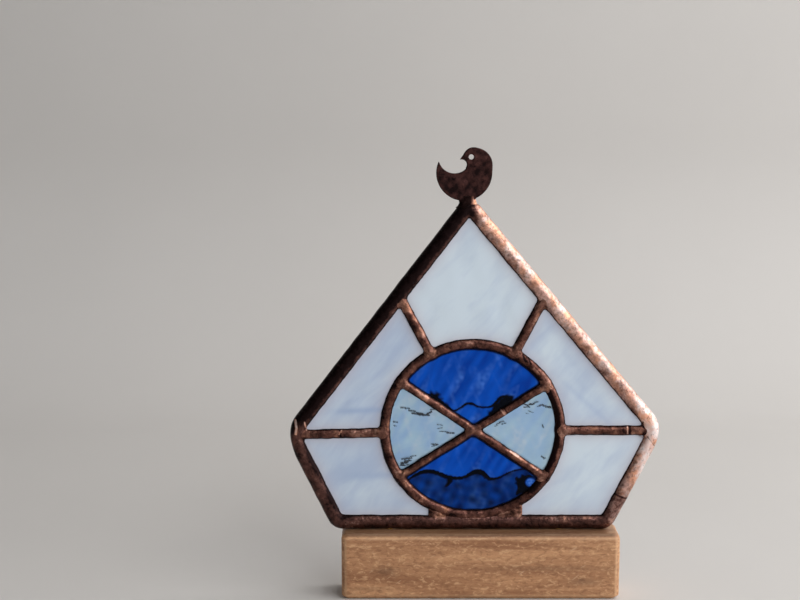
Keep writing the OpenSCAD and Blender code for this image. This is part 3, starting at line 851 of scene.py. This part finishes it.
def birdEdge(p):
    # signed distance to the bird's outline, negative in the sheet: discs for back, head and face, a
    # pointed bill and a tab, less the discs of the crescent and the throat
    def disc(centre, radius):
        return np.linalg.norm(p - centre, axis=-1) - radius

    back = np.maximum(disc(bird["backCentre"], bird["backRadius"]), p[..., 1] - bird["backTop"])
    body = smoothMin(back, disc(bird["headCentre"], bird["headRadius"]), 0.6)
    body = -smoothMin(-body, disc(bird["crescentCentre"], bird["crescentRadius"]), 0.5)
    beak = np.array(bird["beak"])
    sides = np.roll(beak, -1, axis=0) - beak
    normals = np.stack([sides[:, 1], -sides[:, 0]], 1) / np.linalg.norm(sides, axis=1)[:, None]
    bill = np.einsum("...ij,ij->...i", p[..., None, :] - beak, normals).max(-1)
    left, right, low, high = bird["neck"]
    neck = np.maximum.reduce([left - p[..., 0], p[..., 0] - right, low - p[..., 1], p[..., 1] - high])
    shape = smoothMin(body, disc(bird["faceCentre"], bird["faceRadius"]), 0.4)
    shape = smoothMin(smoothMin(shape, bill, 0.25), neck, 0.8)
    shape = smoothMin(shape, disc(bird["gulletCentre"], bird["gulletRadius"]), 0.3)
    return -smoothMin(-shape, disc(bird["throatCentre"], bird["throatRadius"]), 0.3)


def makeBird():
    # lines fan out from a point between tail and bill, each from the first metal it meets to the last
    pivot = np.array(bird["pivot"])
    turns, reach = np.linspace(*bird["sweep"]), np.linspace(*bird["reach"])
    met = birdEdge(pivot + unit(turns)[:, None, :] * reach[None, :, None]) < 0
    hit = np.nonzero(met.any(1))[0]
    low, high = turns[hit[0]], turns[hit[-1]]
    turns = low + (high - low) * (1 - np.cos(np.linspace(0.012, np.pi - 0.012, bird["lines"]))) / 2
    heading = unit(turns)
    met = birdEdge(pivot + heading[:, None, :] * reach[None, :, None]) < 0
    first = reach[met.argmax(1)]
    last = reach[len(reach) - 1 - met[:, ::-1].argmax(1)]
    line = np.repeat(pivot[None], len(turns), axis=0)
    nudge = reach[1] - reach[0]
    first = first - nudge + searchEdge(line + heading * (first - nudge)[:, None], heading, 0, nudge,
                                       lambda p: birdEdge(p) > 0)
    last = last + searchEdge(line + heading * last[:, None], heading, 0, nudge,
                             lambda p: birdEdge(p) < 0)
    share = (1 - np.cos(np.linspace(0, np.pi, bird["columns"]))) / 2
    offset = first[:, None] + (last - first)[:, None] * share
    p = line[:, None, :] + heading[:, None, :] * offset[..., None]
    depth = np.clip(-birdEdge(p) / bird["edge"], 0, 1)
    eyeGap = np.linalg.norm(p - bird["eye"], axis=-1) - bird["eyeRadius"]
    rounded = np.sqrt(1 - (1 - depth) ** 2) * (0.55 + 0.45 * smoothStep(0, 0.45, eyeGap))
    dent = bird["dent"] * waves(p, 6, 91) * np.clip(-birdEdge(p), 0, 1) + 0.03 * waves(p, 1.8, 92)
    dent = dent * depth * 0.6 * (eyeGap > -0.4)
    front = bird["half"] * np.maximum(rounded, 0.04) - dent
    back = bird["half"] * np.maximum(rounded, 0.04) + dent
    above = p + [0, blockTop + bird["base"]]
    points = closedSections(above, front, back)
    crest = np.clip(0.30 + 0.12 * waves(p, 4, 93), 0, 1) * (0.4 + 0.6 * depth)
    crest = np.concatenate([crest, crest[:, ::-1]], axis=1)
    shades = {"crest": crest, "groove": 0 * crest}
    piece = makeMesh("birdFinial", [(points, shades, False, "flat")], birdMetal)
    eyePlace = (bird["eye"][0], 0, bird["eye"][1] + blockTop + bird["base"])
    drill(piece, [eyePlace], bird["eyeRadius"], 6 * bird["half"], (90, 0, 0),
          {"crest": bird["eyeWalls"]})


def drill(piece, places, radius, deep, turned, shades):
    # cuts round holes of that radius, `deep` mm long and centred on each place, then keeps the cut mesh;
    # `shades` are the masks of the holes' walls
    for place in places:
        bpy.ops.mesh.primitive_cylinder_add(vertices=64, radius=radius * mm, depth=deep * mm,
                                            location=[c * mm for c in place],
                                            rotation=[math.radians(a) for a in turned])
        cutter = bpy.context.object
        for key, value in shades.items():
            values = np.full(len(cutter.data.vertices), value, np.float32)
            cutter.data.attributes.new(key, "FLOAT", "POINT").data.foreach_set("value", values)
        cut = piece.modifiers.new("hole", "BOOLEAN")
        cut.operation, cut.object, cut.solver = "DIFFERENCE", cutter, "EXACT"
        view = bpy.context.evaluated_depsgraph_get()
        whole = piece.data
        piece.data = bpy.data.meshes.new_from_object(piece.evaluated_get(view))
        piece.data.name = whole.name
        piece.modifiers.clear()
        bpy.data.meshes.remove(whole)
        bpy.data.objects.remove(cutter)


makeBird()

print("glass")
glass = {"half": 1.36, "ripple": 0.09, "heart": 0.45,
         "cell": 0.8, "cobaltCell": 0.3, "clearCell": 0.2,     # about the size of a face
         # how far a pane goes into the rim, and how near it comes to the ring's middle line
         "grow": 1.6, "underRing": 0.5, "inRing": 0.6}


def paneSections(centre, turnLow, turnHigh, innerRadius, outerRadius, cell, size, seed):
    # polar grid between two directions, with rippled faces; outerRadius is the radius for each
    # direction
    middle = (turnLow + turnHigh) / 2
    far = outerRadius(np.array([middle]))[0]
    rows = int(max(8, math.radians(turnHigh - turnLow) * far / cell))
    columns = int(max(6, (far - innerRadius) / cell))
    turns = np.linspace(turnLow, turnHigh, rows)
    reach = outerRadius(turns)
    radius = innerRadius + (reach - innerRadius)[:, None] * np.linspace(0, 1, columns)
    inset = np.degrees(np.arcsin(np.clip(glass["heart"] / radius, 0, 0.9)))
    share = np.linspace(-1, 1, rows)[:, None]
    p = centre + unit(turns[:, None] - share * inset) * radius[..., None]
    front = glass["half"] + glass["ripple"] * waves(withSide(p, -1), size, seed)
    back = glass["half"] + glass["ripple"] * waves(withSide(p, 1), size, seed + 1)
    return p, closedSections(p, front, back)


def fieldReach(turns):
    # distance from the ring's centre to the daylight outline grown into the rim
    heading = unit(turns)
    gaps = np.einsum("ij,ij->i", corners - ringCentre, outwards) + glass["grow"]
    slopes = heading @ outwards.T
    return np.where(slopes > 0.05, gaps / np.clip(slopes, 0.05, None), 999).min(1)


def streaks(p, turn, size, seed):
    # soft waves drawn out four times along `turn`
    return waves(np.stack([0.25 * (p @ unit(turn)), p @ unit(turn + 90)], -1), size, seed)


def bothFaces(masks):
    # masks of the front, repeated in turn over the back
    return {name: np.concatenate([value, value[:, ::-1]], axis=1) for name, value in masks.items()}


# Each pane: its two directions from the ring's centre, how light it is, the way its streaks run,
# and a blue streak in it: middle, slope and half height
fieldPanes = {
    "apex": (mullionTurns[0], mullionTurns[1], 0.9, 62, None),
    "upperLeft": (mullionTurns[1], mullionTurns[2], -0.45, 46, ((-46, 49.3), 0.04, 1.3, 0.75)),
    "upperRight": (mullionTurns[3], mullionTurns[0], -0.1, 128, ((45, 52), -0.9, 1.6, 0.3)),
    "lowerLeft": (mullionTurns[2], 270, -0.5, 20, ((-40, 22.5), 0.05, 1.6, 0.5)),
    "lowerRight": (-90, mullionTurns[3], 0.35, 30, None),
}


def makeFieldPane(key, look, seed):
    low, high, level, turn, blue = look
    inner = ringMiddle + glass["underRing"]
    p, points = paneSections(ringCentre, low, high, inner, fieldReach, glass["cell"], 13, seed)
    edge = metalEdge(p)[0]
    pale = 0.6 * np.exp(-np.clip(edge, 0, None) / 2.2)
    light = level + 0.40 * streaks(p, turn, 14, seed + 2) + 0.12 * streaks(p, turn, 5, seed + 3)
    markAndRefraction = 0 * pale
    if blue:
        (x, z), slope, half, depth = blue
        off = p - [x, blockTop + z]
        across = (off[..., 1] - slope * off[..., 0]) / half
        markAndRefraction = depth * np.exp(-across ** 2 - (off[..., 0] / 11) ** 4)
    masks = {"pale": pale, "markAndRefraction": markAndRefraction, "light": light}
    makeMesh(key + "Glass", [(points, bothFaces(masks), False, "flat")], opalGlass)


for n, (key, look) in enumerate(fieldPanes.items()):
    makeFieldPane(key, look, 101 + 10 * n)

# Painted refraction in the blue panes, dark ridges of what lies behind seen through the glass: the crest of
# each range above the block, its half width at each point, filled hills and how dark the glass is below the
# crest
refractedRidges = {
    "top": {
        "crest": [(-19.6, 56.4), (-16.2, 55.0), (-12.0, 51.8), (-8.6, 49.4), (-6.2, 50.4),
                  (-3.4, 52.2), (-1.0, 52.1), (1.4, 51.0), (4.0, 50.8), (6.6, 51.2), (8.6, 53.0),
                  (10.6, 54.9), (12.8, 54.6), (14.8, 53.0), (17.0, 52.0)],
        "half": [0.2, 0.5, 0.5, 0.3, 0.28, 0.45, 0.48, 0.3, 0.26, 0.4, 0.6, 0.6, 0.4, 0.3, 0.2],
        "hills": [[(-18.0, 56.8), (-15.4, 56.6), (-13.4, 54.8), (-12.6, 52.8), (-10.4, 51.0),
                   (-7.0, 47.0), (-10.0, 46.0), (-18.0, 52.0)],
                  [(6.6, 50.8), (8.4, 53.0), (10.4, 54.8), (12.6, 55.6), (15.2, 55.0), (15.0, 50.0),
                   (8.0, 44.0), (4.6, 46.0)]],
        "level": 0},
    "bottom": {
        "crest": [(-27.0, 20.6), (-24.4, 22.4), (-21.0, 23.9), (-17.8, 24.2), (-14.6, 23.4),
                  (-11.2, 21.9), (-7.4, 21.4), (-4.0, 21.9), (-1.6, 23.2), (0.8, 24.0), (3.0, 23.6),
                  (4.8, 22.2), (6.6, 21.1), (9.4, 21.5), (12.4, 23.0), (15.4, 24.4), (19.0, 25.2)],
        "half": [0.3, 0.6, 0.8, 0.9, 0.9, 0.9, 0.7, 0.6, 0.9, 1.2, 1.2, 1.0, 0.7, 0.5, 0.35, 0.3,
                 0.3],
        "hills": [[(-12.6, 22.4), (-9.4, 22.0), (-9.0, 19.6), (-10.8, 17.4), (-12.4, 17.6),
                   (-12.0, 20.0)],
                  [(16.0, 19.4), (17.0, 22.0), (19.6, 23.2), (24.4, 22.0), (23.6, 17.6),
                   (20.4, 14.4), (17.2, 14.6)]],
        "level": 0.7},
}
# Painted refraction in the clear panes, dark dashes of what lies behind: where each starts and ends above
# the block, and half its width
refractedDashes = {
    "left": [(-29.8, 50.5, -27.8, 50.4, 0.18), (-27.8, 50.1, -26.2, 50.2, 0.14),
             (-26.6, 49.3, -23.9, 49.0, 0.18), (-25.3, 48.2, -22.3, 47.7, 0.25),
             (-23.7, 48.4, -20.9, 48.0, 0.18), (-22.3, 47.6, -18.4, 47.4, 0.29),
             (-19.0, 48.0, -17.3, 48.8, 0.25), (-17.9, 49.7, -15.6, 49.8, 0.14),
             (-32.7, 44.7, -31.2, 44.5, 0.16), (-32.4, 43.1, -31.5, 43.0, 0.11),
             (-15.2, 43.6, -13.1, 43.2, 0.07), (-14.2, 40.8, -11.0, 40.5, 0.1),
             (-11.2, 40.1, -8.3, 40.0, 0.18), (-15.1, 41.9, -13.1, 42.2, 0.07),
             (-17.4, 35.5, -14.7, 35.3, 0.16), (-17.2, 34.6, -15.4, 35.0, 0.14),
             (-29.3, 29.3, -25.4, 29.8, 0.2), (-28.2, 28.5, -25.6, 28.7, 0.24),
             (-29.6, 27.6, -27.0, 27.9, 0.3), (-29.9, 26.8, -28.0, 26.7, 0.26),
             (-27.6, 26.9, -26.4, 27.1, 0.13), (-25.9, 30.4, -23.7, 30.7, 0.11)],
    "right": [(19.4, 51.9, 20.7, 51.6, 0.14), (21.0, 51.4, 22.4, 52.0, 0.2),
              (22.7, 51.7, 24.0, 52.5, 0.2), (24.0, 52.7, 25.2, 53.0, 0.14),
              (19.6, 50.7, 21.8, 50.8, 0.14), (24.9, 50.9, 25.8, 51.1, 0.11),
              (25.8, 51.3, 27.1, 51.7, 0.2), (27.2, 51.1, 28.2, 51.5, 0.14),
              (28.2, 50.8, 30.3, 50.9, 0.2), (29.0, 50.6, 30.6, 50.4, 0.16),
              (21.3, 49.2, 23.2, 48.5, 0.07), (20.2, 48.3, 21.4, 48.0, 0.07),
              (8.7, 43.7, 9.8, 44.1, 0.12), (9.9, 44.4, 11.5, 45.0, 0.14),
              (10.8, 43.7, 12.3, 44.2, 0.11), (8.0, 42.9, 9.1, 43.2, 0.07),
              (27.1, 43.4, 27.4, 42.4, 0.2), (26.8, 30.4, 28.2, 29.6, 0.18),
              (27.7, 29.4, 28.5, 29.7, 0.14)],
}


glassBubble = (22.6, 19.7)     # its middle, above the block


def smoothLine(points, count):
    # a curve through the points (cubic between neighbours), with `count` steps to each span
    p = np.array(points, float)
    p = np.concatenate([2 * p[:1] - p[1:2], p, 2 * p[-1:] - p[-2:-1]])
    t = np.linspace(0, 1, count, endpoint=False)[None, :, None]
    a, b, c, d = (p[k:len(p) - 3 + k, None, :] for k in range(4))
    square, cube = 2 * a - 5 * b + 4 * c - d, 3 * b - a - 3 * c + d
    curve = 0.5 * (2 * b + (c - a) * t + square * t ** 2 + cube * t ** 3)
    return np.concatenate([curve.reshape(-1, p.shape[1]), p[-2:-1]])


def loopDistance(p, loop):
    # signed distance to a closed loop of points, negative inside
    ends = np.roll(loop, -1, axis=0)
    gap = np.min([segmentDistance(p, a, b) for a, b in zip(loop, ends)], axis=0)
    above = (loop[:, 1] > p[..., 1:2]) != (ends[:, 1] > p[..., 1:2])
    rise = ends[:, 1] - loop[:, 1]
    rise = np.where(np.abs(rise) < 1e-9, 1e-9, rise)
    crossX = loop[:, 0] + (p[..., 1:2] - loop[:, 1]) * (ends[:, 0] - loop[:, 0]) / rise
    inside = (above & (p[..., :1] < crossX)).sum(-1) % 2 == 1
    return np.where(inside, -gap, gap)


def paintedRidgeRefraction(p, look, seed):
    # painted refraction: dark along the crest line, with a crisp upper edge and a softer lower one, and in
    # the hills
    place = p - [0, blockTop]
    line = smoothLine([(x, z, h) for (x, z), h in zip(look["crest"], look["half"])], 8)
    height = np.interp(place[..., 0], line[:, 0], line[:, 1])
    half = np.interp(place[..., 0], line[:, 0], line[:, 2])
    slope = np.interp(place[..., 0], line[:, 0], np.gradient(line[:, 1], line[:, 0]))
    ragged = 0.12 * waves(p, 1.5, seed)
    drop = (height - place[..., 1]) / np.sqrt(1 + slope ** 2) + ragged
    markAndRefraction = smoothStep(-half - 0.15, -half + 0.15, drop)
    markAndRefraction = markAndRefraction * (1 - smoothStep(half * 0.6, half * 1.6 + 0.5, drop))
    for hill in look["hills"]:
        gap = loopDistance(place, smoothLine(hill + hill[:1], 5)[:-1]) + 0.6 * waves(p, 3.0, seed + 1)
        markAndRefraction = np.maximum(markAndRefraction, 1 - smoothStep(-0.9, 1.0, gap))
    below = look["level"] * smoothStep(-0.2, 0.6, drop) * (0.9 + 0.25 * waves(p, 6, seed + 2))
    return np.clip(np.maximum(markAndRefraction, below), 0, 1)


def paintedDashRefraction(p, marks, seed):
    # painted refraction: short dark dashes with ragged edges
    markAndRefraction = np.zeros(p.shape[:-1])
    ragged = 0.10 * waves(p, 1.1, seed) + 0.06 * waves(p, 0.5, seed + 1)
    for x, z, endX, endZ, half in marks:
        gap = markDistance(p, (x, z), (endX, endZ)) + ragged
        markAndRefraction = np.maximum(markAndRefraction, 1 - smoothStep(half - 0.08, half + 0.22, gap))
    return markAndRefraction


def makeMedallionPane(key, low, high, cobalt, seed):
    def reach(turns):
        # to the ring's heart, from a crossing that lies off its centre
        return ringMiddle - glass["inRing"] - panel["crossShift"] * np.cos(np.radians(turns))

    cell = glass["cobaltCell"] if cobalt else glass["clearCell"]
    p, points = paneSections(crossing, low, high, 0.7, reach, cell, 7, seed)
    edge = metalEdge(p)[0]
    light = 0.9 * streaks(p, 62, 5, seed + 7)
    if cobalt:
        # a thin black line shows where the glass meets the metal
        markAndRefraction = np.maximum(paintedRidgeRefraction(p, refractedRidges[key], seed + 5), 0.95 * (1 - smoothStep(0.2, 0.75, edge)))
    else:
        markAndRefraction = paintedDashRefraction(p, refractedDashes[key], seed + 5)
    wisp = np.clip(streaks(p, 62, 6.5, seed + 6) - 0.1, 0, 1)
    wisp = wisp + 0.6 * np.clip(streaks(p, 112, 4.5, seed + 8) - 0.3, 0, 1)
    pale = (0.28 if cobalt else 0.35) * wisp * (1 + 0.6 * waves(p, 3, seed + 9))
    if key == "bottom":
        # a bubble, painted as the light it bends: a pale middle with painted highlights and a painted dark
        # ring round it
        x, z = glassBubble
        bubble = np.linalg.norm((p - [x, blockTop + z]) * [0.9, 1.0], axis=-1)
        markAndRefraction = np.maximum(markAndRefraction, np.exp(-((bubble - 2.5) / 0.5) ** 2)) * smoothStep(1.3, 2.2, bubble)
        pale = np.maximum(pale, (1 - smoothStep(1.2, 2.0, bubble)) * (0.55 + 0.35 * waves(p, 1.6, 77)))
    masks = {"pale": np.clip(pale, 0, 1), "markAndRefraction": markAndRefraction, "light": light}
    material, slot = (cobaltGlass, "blue_glass") if cobalt else (clearGlass, "clear_glass")
    patch = (points, bothFaces(masks), False, "flat")
    makeMesh("medallion" + key.title() + "Glass", [patch], material)


# the four panes of the medallion, from one bar to the next
barTurns = [*panel["barTurns"], panel["barTurns"][0] + 360]
for n, key in enumerate(["top", "left", "bottom", "right"]):
    makeMedallionPane(key, barTurns[n], barTurns[n + 1], n % 2 == 0, 151 + 10 * n)

print("block and pins")
block = {"chamfer": 1.5, "eased": 0.35, "easing": 0.09, "boreRadius": 1.05, "boreDeep": 12.0, "contactShade": 0.6,
         # knots and darker bands: x, z, half length, half height and how dark
         "knots": [(-36, 12, 4.5, 1.7, 0.42), (44, 7.5, 6, 1.6, 0.36), (30, 13, 26, 1.1, 0.28),
                   (-44, 4.5, 9, 0.9, 0.24)],
         "aroundSteps": [26, 8, 125, 8, 26, 8, 125, 8], "endRows": 10, "chamferRows": 8, "sideRows": 46}
pins = {"half": 34.0, "radius": 1.0, "tip": 0.5, "down": 10.0, "up": 3.0, "around": 40}


def makeBlock():
    # a chamfered rectangle carried up the block, drawn in at top and bottom; its arrises are rounded off
    low, high = (np.array(c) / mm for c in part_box("stand_block"))
    halfLong, halfDeep, tall = (high[0] - low[0]) / 2, (high[1] - low[1]) / 2, high[2]
    centre = (high + low) / 2
    cut = block["chamfer"]

    def outline(longer, deeper, corner, count):
        # one loop of a rectangle whose corners are cut off at 45 degrees
        x, y = longer - corner, deeper - corner
        stops = np.array([(longer, -y), (longer, y), (x, deeper), (-x, deeper), (-longer, y),
                          (-longer, -y), (-x, -deeper), (x, -deeper), (longer, -y)])
        share = np.concatenate([np.linspace(0, 1, n, endpoint=False) + i for i, n in enumerate(count)])
        i = share.astype(int)
        return stops[i] + (stops[i + 1] - stops[i]) * (share - i)[:, None]

    count = block["aroundSteps"]
    flatRows = np.linspace(0.02, 1, block["endRows"])[:-1]
    chamferRows = np.linspace(0, 1, block["chamferRows"])
    sideRows = np.linspace(cut, tall - cut, block["sideRows"])[1:-1]
    levels = [(1 - s, 0.0, s) for s in flatRows]
    levels += [(None, cut * s, 1 - s) for s in chamferRows]
    levels += [(None, z, 0.0) for z in sideRows]
    levels += [(None, tall - cut * (1 - s), s) for s in chamferRows]
    levels += [(1 - s, tall, s) for s in flatRows[::-1]]
    loops = []
    for flat, z, drawn in levels:
        if flat is None:
            loop = outline(halfLong - cut * drawn, halfDeep - cut * drawn, cut, count)
        else:
            loop = outline(halfLong - cut, halfDeep - cut, cut, count) * (1 - flat)
        loops.append(np.concatenate([loop + centre[:2], np.full((len(loop), 1), z)], axis=1))
    points = np.array(loops)
    # the arrises are eased: points near two or more faces at once move in a little
    gap = np.stack([halfLong - np.abs(points[..., 0] - centre[0]), halfDeep - np.abs(points[..., 1]),
                    np.minimum(points[..., 2], tall - points[..., 2])], -1)
    pairs = gap[..., [0, 1, 0]] + gap[..., [1, 2, 2]] - cut
    closest = np.sort(np.concatenate([gap, pairs / math.sqrt(2)], -1), -1)
    arris = np.exp(-((closest[..., 0] + closest[..., 1]) / block["eased"]) ** 2)
    inward = np.stack([centre[0] - points[..., 0], -points[..., 1], tall / 2 - points[..., 2]], -1)
    inward = np.sign(inward) * (gap < 1.6)
    points = points + inward * (arris * (block["easing"] + 0.05 * waves(points, 6, 191)))[..., None]
    worn = np.clip(arris * (0.8 + 0.5 * waves(points, 9, 192)), 0, 1)
    # painted contact shadow on the top along the panel's foot and round the upper chamfer; the bores' walls
    # get the same painted shade
    toneAndShade = smoothStep(6.5, 3.0, np.abs(points[..., 1])) * smoothStep(tall - 1.2, tall, points[..., 2])
    toneAndShade = block["contactShade"] * np.maximum(toneAndShade, smoothStep(tall - 1.3, tall - 0.5, points[..., 2]))
    toneAndShade = toneAndShade * smoothStep(57, 53, np.abs(points[..., 0] - centre[0]))
    # knots and darker bands are the wood's own colour
    for x, z, long, high, depth in block["knots"]:
        off = ((points[..., 0] - x) / long) ** 2 + ((points[..., 2] - z) / high) ** 2
        toneAndShade = np.maximum(toneAndShade, depth * np.exp(-off * (1 + 0.4 * waves(points, 3, 193))))
    shades = {"arris": worn, "toneAndShade": toneAndShade}
    piece = makeMesh("standBlock", [(points, shades, False, "poles")], blockWood, "stand")
    places = [(s * pins["half"], 0, tall - block["boreDeep"] / 2 + 1) for s in (-1, 1)]
    drill(piece, places, block["boreRadius"], block["boreDeep"] + 2, (0, 0, 0), {"toneAndShade": block["contactShade"]})


def makePin(name, side):
    # a turned pin: rounded ends on a straight shank, swept round its axis
    tip = pins["tip"]
    bottom, top = blockTop - pins["down"], blockTop + pins["up"]
    s = np.linspace(0.06, np.pi / 2, 8)
    radius = np.concatenate([pins["radius"] - tip + tip * np.sin(s), np.full(30, pins["radius"]),
                             pins["radius"] - tip + tip * np.sin(s[::-1])])
    z = np.concatenate([bottom + tip - tip * np.cos(s), np.linspace(bottom + tip, top - tip, 32)[1:-1],
                        top - tip + tip * np.cos(s[::-1])])
    turn = np.linspace(0, 2 * np.pi, pins["around"], endpoint=False)
    radius, z = radius[:, None], z[:, None]
    points = np.stack([side * pins["half"] + radius * np.cos(turn), radius * np.sin(turn), z + 0 * turn], -1)
    makeMesh(name, [(points, {}, False, "poles")], pinBrass)


makeBlock()
makePin("locatingPinLeft", -1)
makePin("locatingPinRight", 1)

print("floor, lights and camera")
stage = {"floor": (0.60, 0.58, 0.555), "front": -1.4, "foot": 0.28, "curve": 0.16, "top": 1.5,
         "half": 1.8}      # in metres
camera = {"place": (-0.03004, -0.5874, 0.21395), "tilt": 81.0, "lens": 67.5}
# each light: its place, its size, its power in watts and its colour
lights = [("windowRight", (0.95, -0.05, 0.60), (2.0, 1.3), 20.0, (1.0, 0.99, 0.99)),
          ("frontFill", (0.45, -1.1, 0.85), (0.5, 0.5), 4.2, (0.96, 0.98, 1.0)),
          ("backWash", (0.5, 0.05, 1.4), (0.8, 0.4), 2.5, (1.0, 0.99, 0.98))]


aimAt = (0, 0, 0.09)
room = {"dark": (0.03, 0.03, 0.03), "bright": (0.36, 0.36, 0.37), "from": -0.7, "to": 0.8}


def makeStage():
    # floor that bends up into a wall: a line in y and z carried along x
    turn = np.linspace(0, np.pi / 2, 16)
    foot, curve = stage["foot"], stage["curve"]
    y = np.concatenate([[stage["front"]], foot + curve * np.sin(turn), [foot + curve]])
    z = np.concatenate([[0], curve * (1 - np.cos(turn)), [stage["top"]]])
    x = np.linspace(-stage["half"], stage["half"], 3)
    points = np.stack([x[:, None] + 0 * y, y + 0 * x[:, None], z + 0 * x[:, None]], -1).reshape(-1, 3)
    index = np.arange(len(points)).reshape(3, -1)
    faces = np.stack([index[:-1, :-1], index[1:, :-1], index[1:, 1:], index[:-1, 1:]], -1).reshape(-1, 4)
    mesh = bpy.data.meshes.new("stageFloor")
    mesh.from_pydata(points.tolist(), [], faces.tolist())
    mesh.shade_smooth()
    material, tree, shader, place = newMaterial("stagePaper", {"Roughness": 0.75})
    cloth = noise(tree, place, 60.0, 3.0, 0.5)
    tree.links.new(blendColour(tree, cloth, stage["floor"], tuple(c * 1.05 for c in stage["floor"])),
                   shader.inputs["Base Color"])
    # the wall is seen only from the front, so that it never hides the back of the panel
    clear = addNode(tree, "ShaderNodeBsdfTransparent").outputs["BSDF"]
    behind = addNode(tree, "ShaderNodeNewGeometry").outputs["Backfacing"]
    seen = addNode(tree, "ShaderNodeMixShader", {0: behind, 1: shader.outputs["BSDF"], 2: clear})
    tree.links.new(seen.outputs["Shader"], tree.nodes["Material Output"].inputs["Surface"])
    mesh.materials.append(material)
    floor = bpy.data.objects.new("stageFloor", mesh)
    bpy.context.scene.collection.objects.link(floor)


def makeLights():
    # soft panels of light aimed at the medallion, and a grey room that is brighter on the right
    for name, place, size, power, colour in lights:
        data = bpy.data.lights.new(name, "AREA")
        data.shape, data.energy, data.color = "RECTANGLE", power, colour
        data.size, data.size_y = size
        lamp = bpy.data.objects.new(name, data)
        lamp.location = place
        aim = np.array(aimAt) - place
        lamp.rotation_euler = Vector(aim).to_track_quat("-Z", "Y").to_euler()
        bpy.context.scene.collection.objects.link(lamp)
    world = bpy.data.worlds.new("studio")
    bpy.context.scene.world = world
    world.use_nodes = True
    tree = world.node_tree
    heading = addNode(tree, "ShaderNodeTexCoord").outputs["Generated"]
    side = addNode(tree, "ShaderNodeSeparateXYZ", {"Vector": heading})
    share = spread(tree, side.outputs["X"], room["from"], room["to"])
    tree.links.new(blendColour(tree, share, room["dark"], room["bright"]),
                   tree.nodes["Background"].inputs["Color"])
    bpy.context.scene.view_settings.view_transform = "Standard"


def makeCamera():
    data = bpy.data.cameras.new("camera")
    data.lens, data.sensor_width = camera["lens"], 36.0
    eye = bpy.data.objects.new("camera", data)
    eye.location = camera["place"]
    eye.rotation_euler = (math.radians(camera["tilt"]), 0, 0)
    bpy.context.scene.collection.objects.link(eye)
    bpy.context.scene.camera = eye


makeStage()
makeLights()
makeCamera()
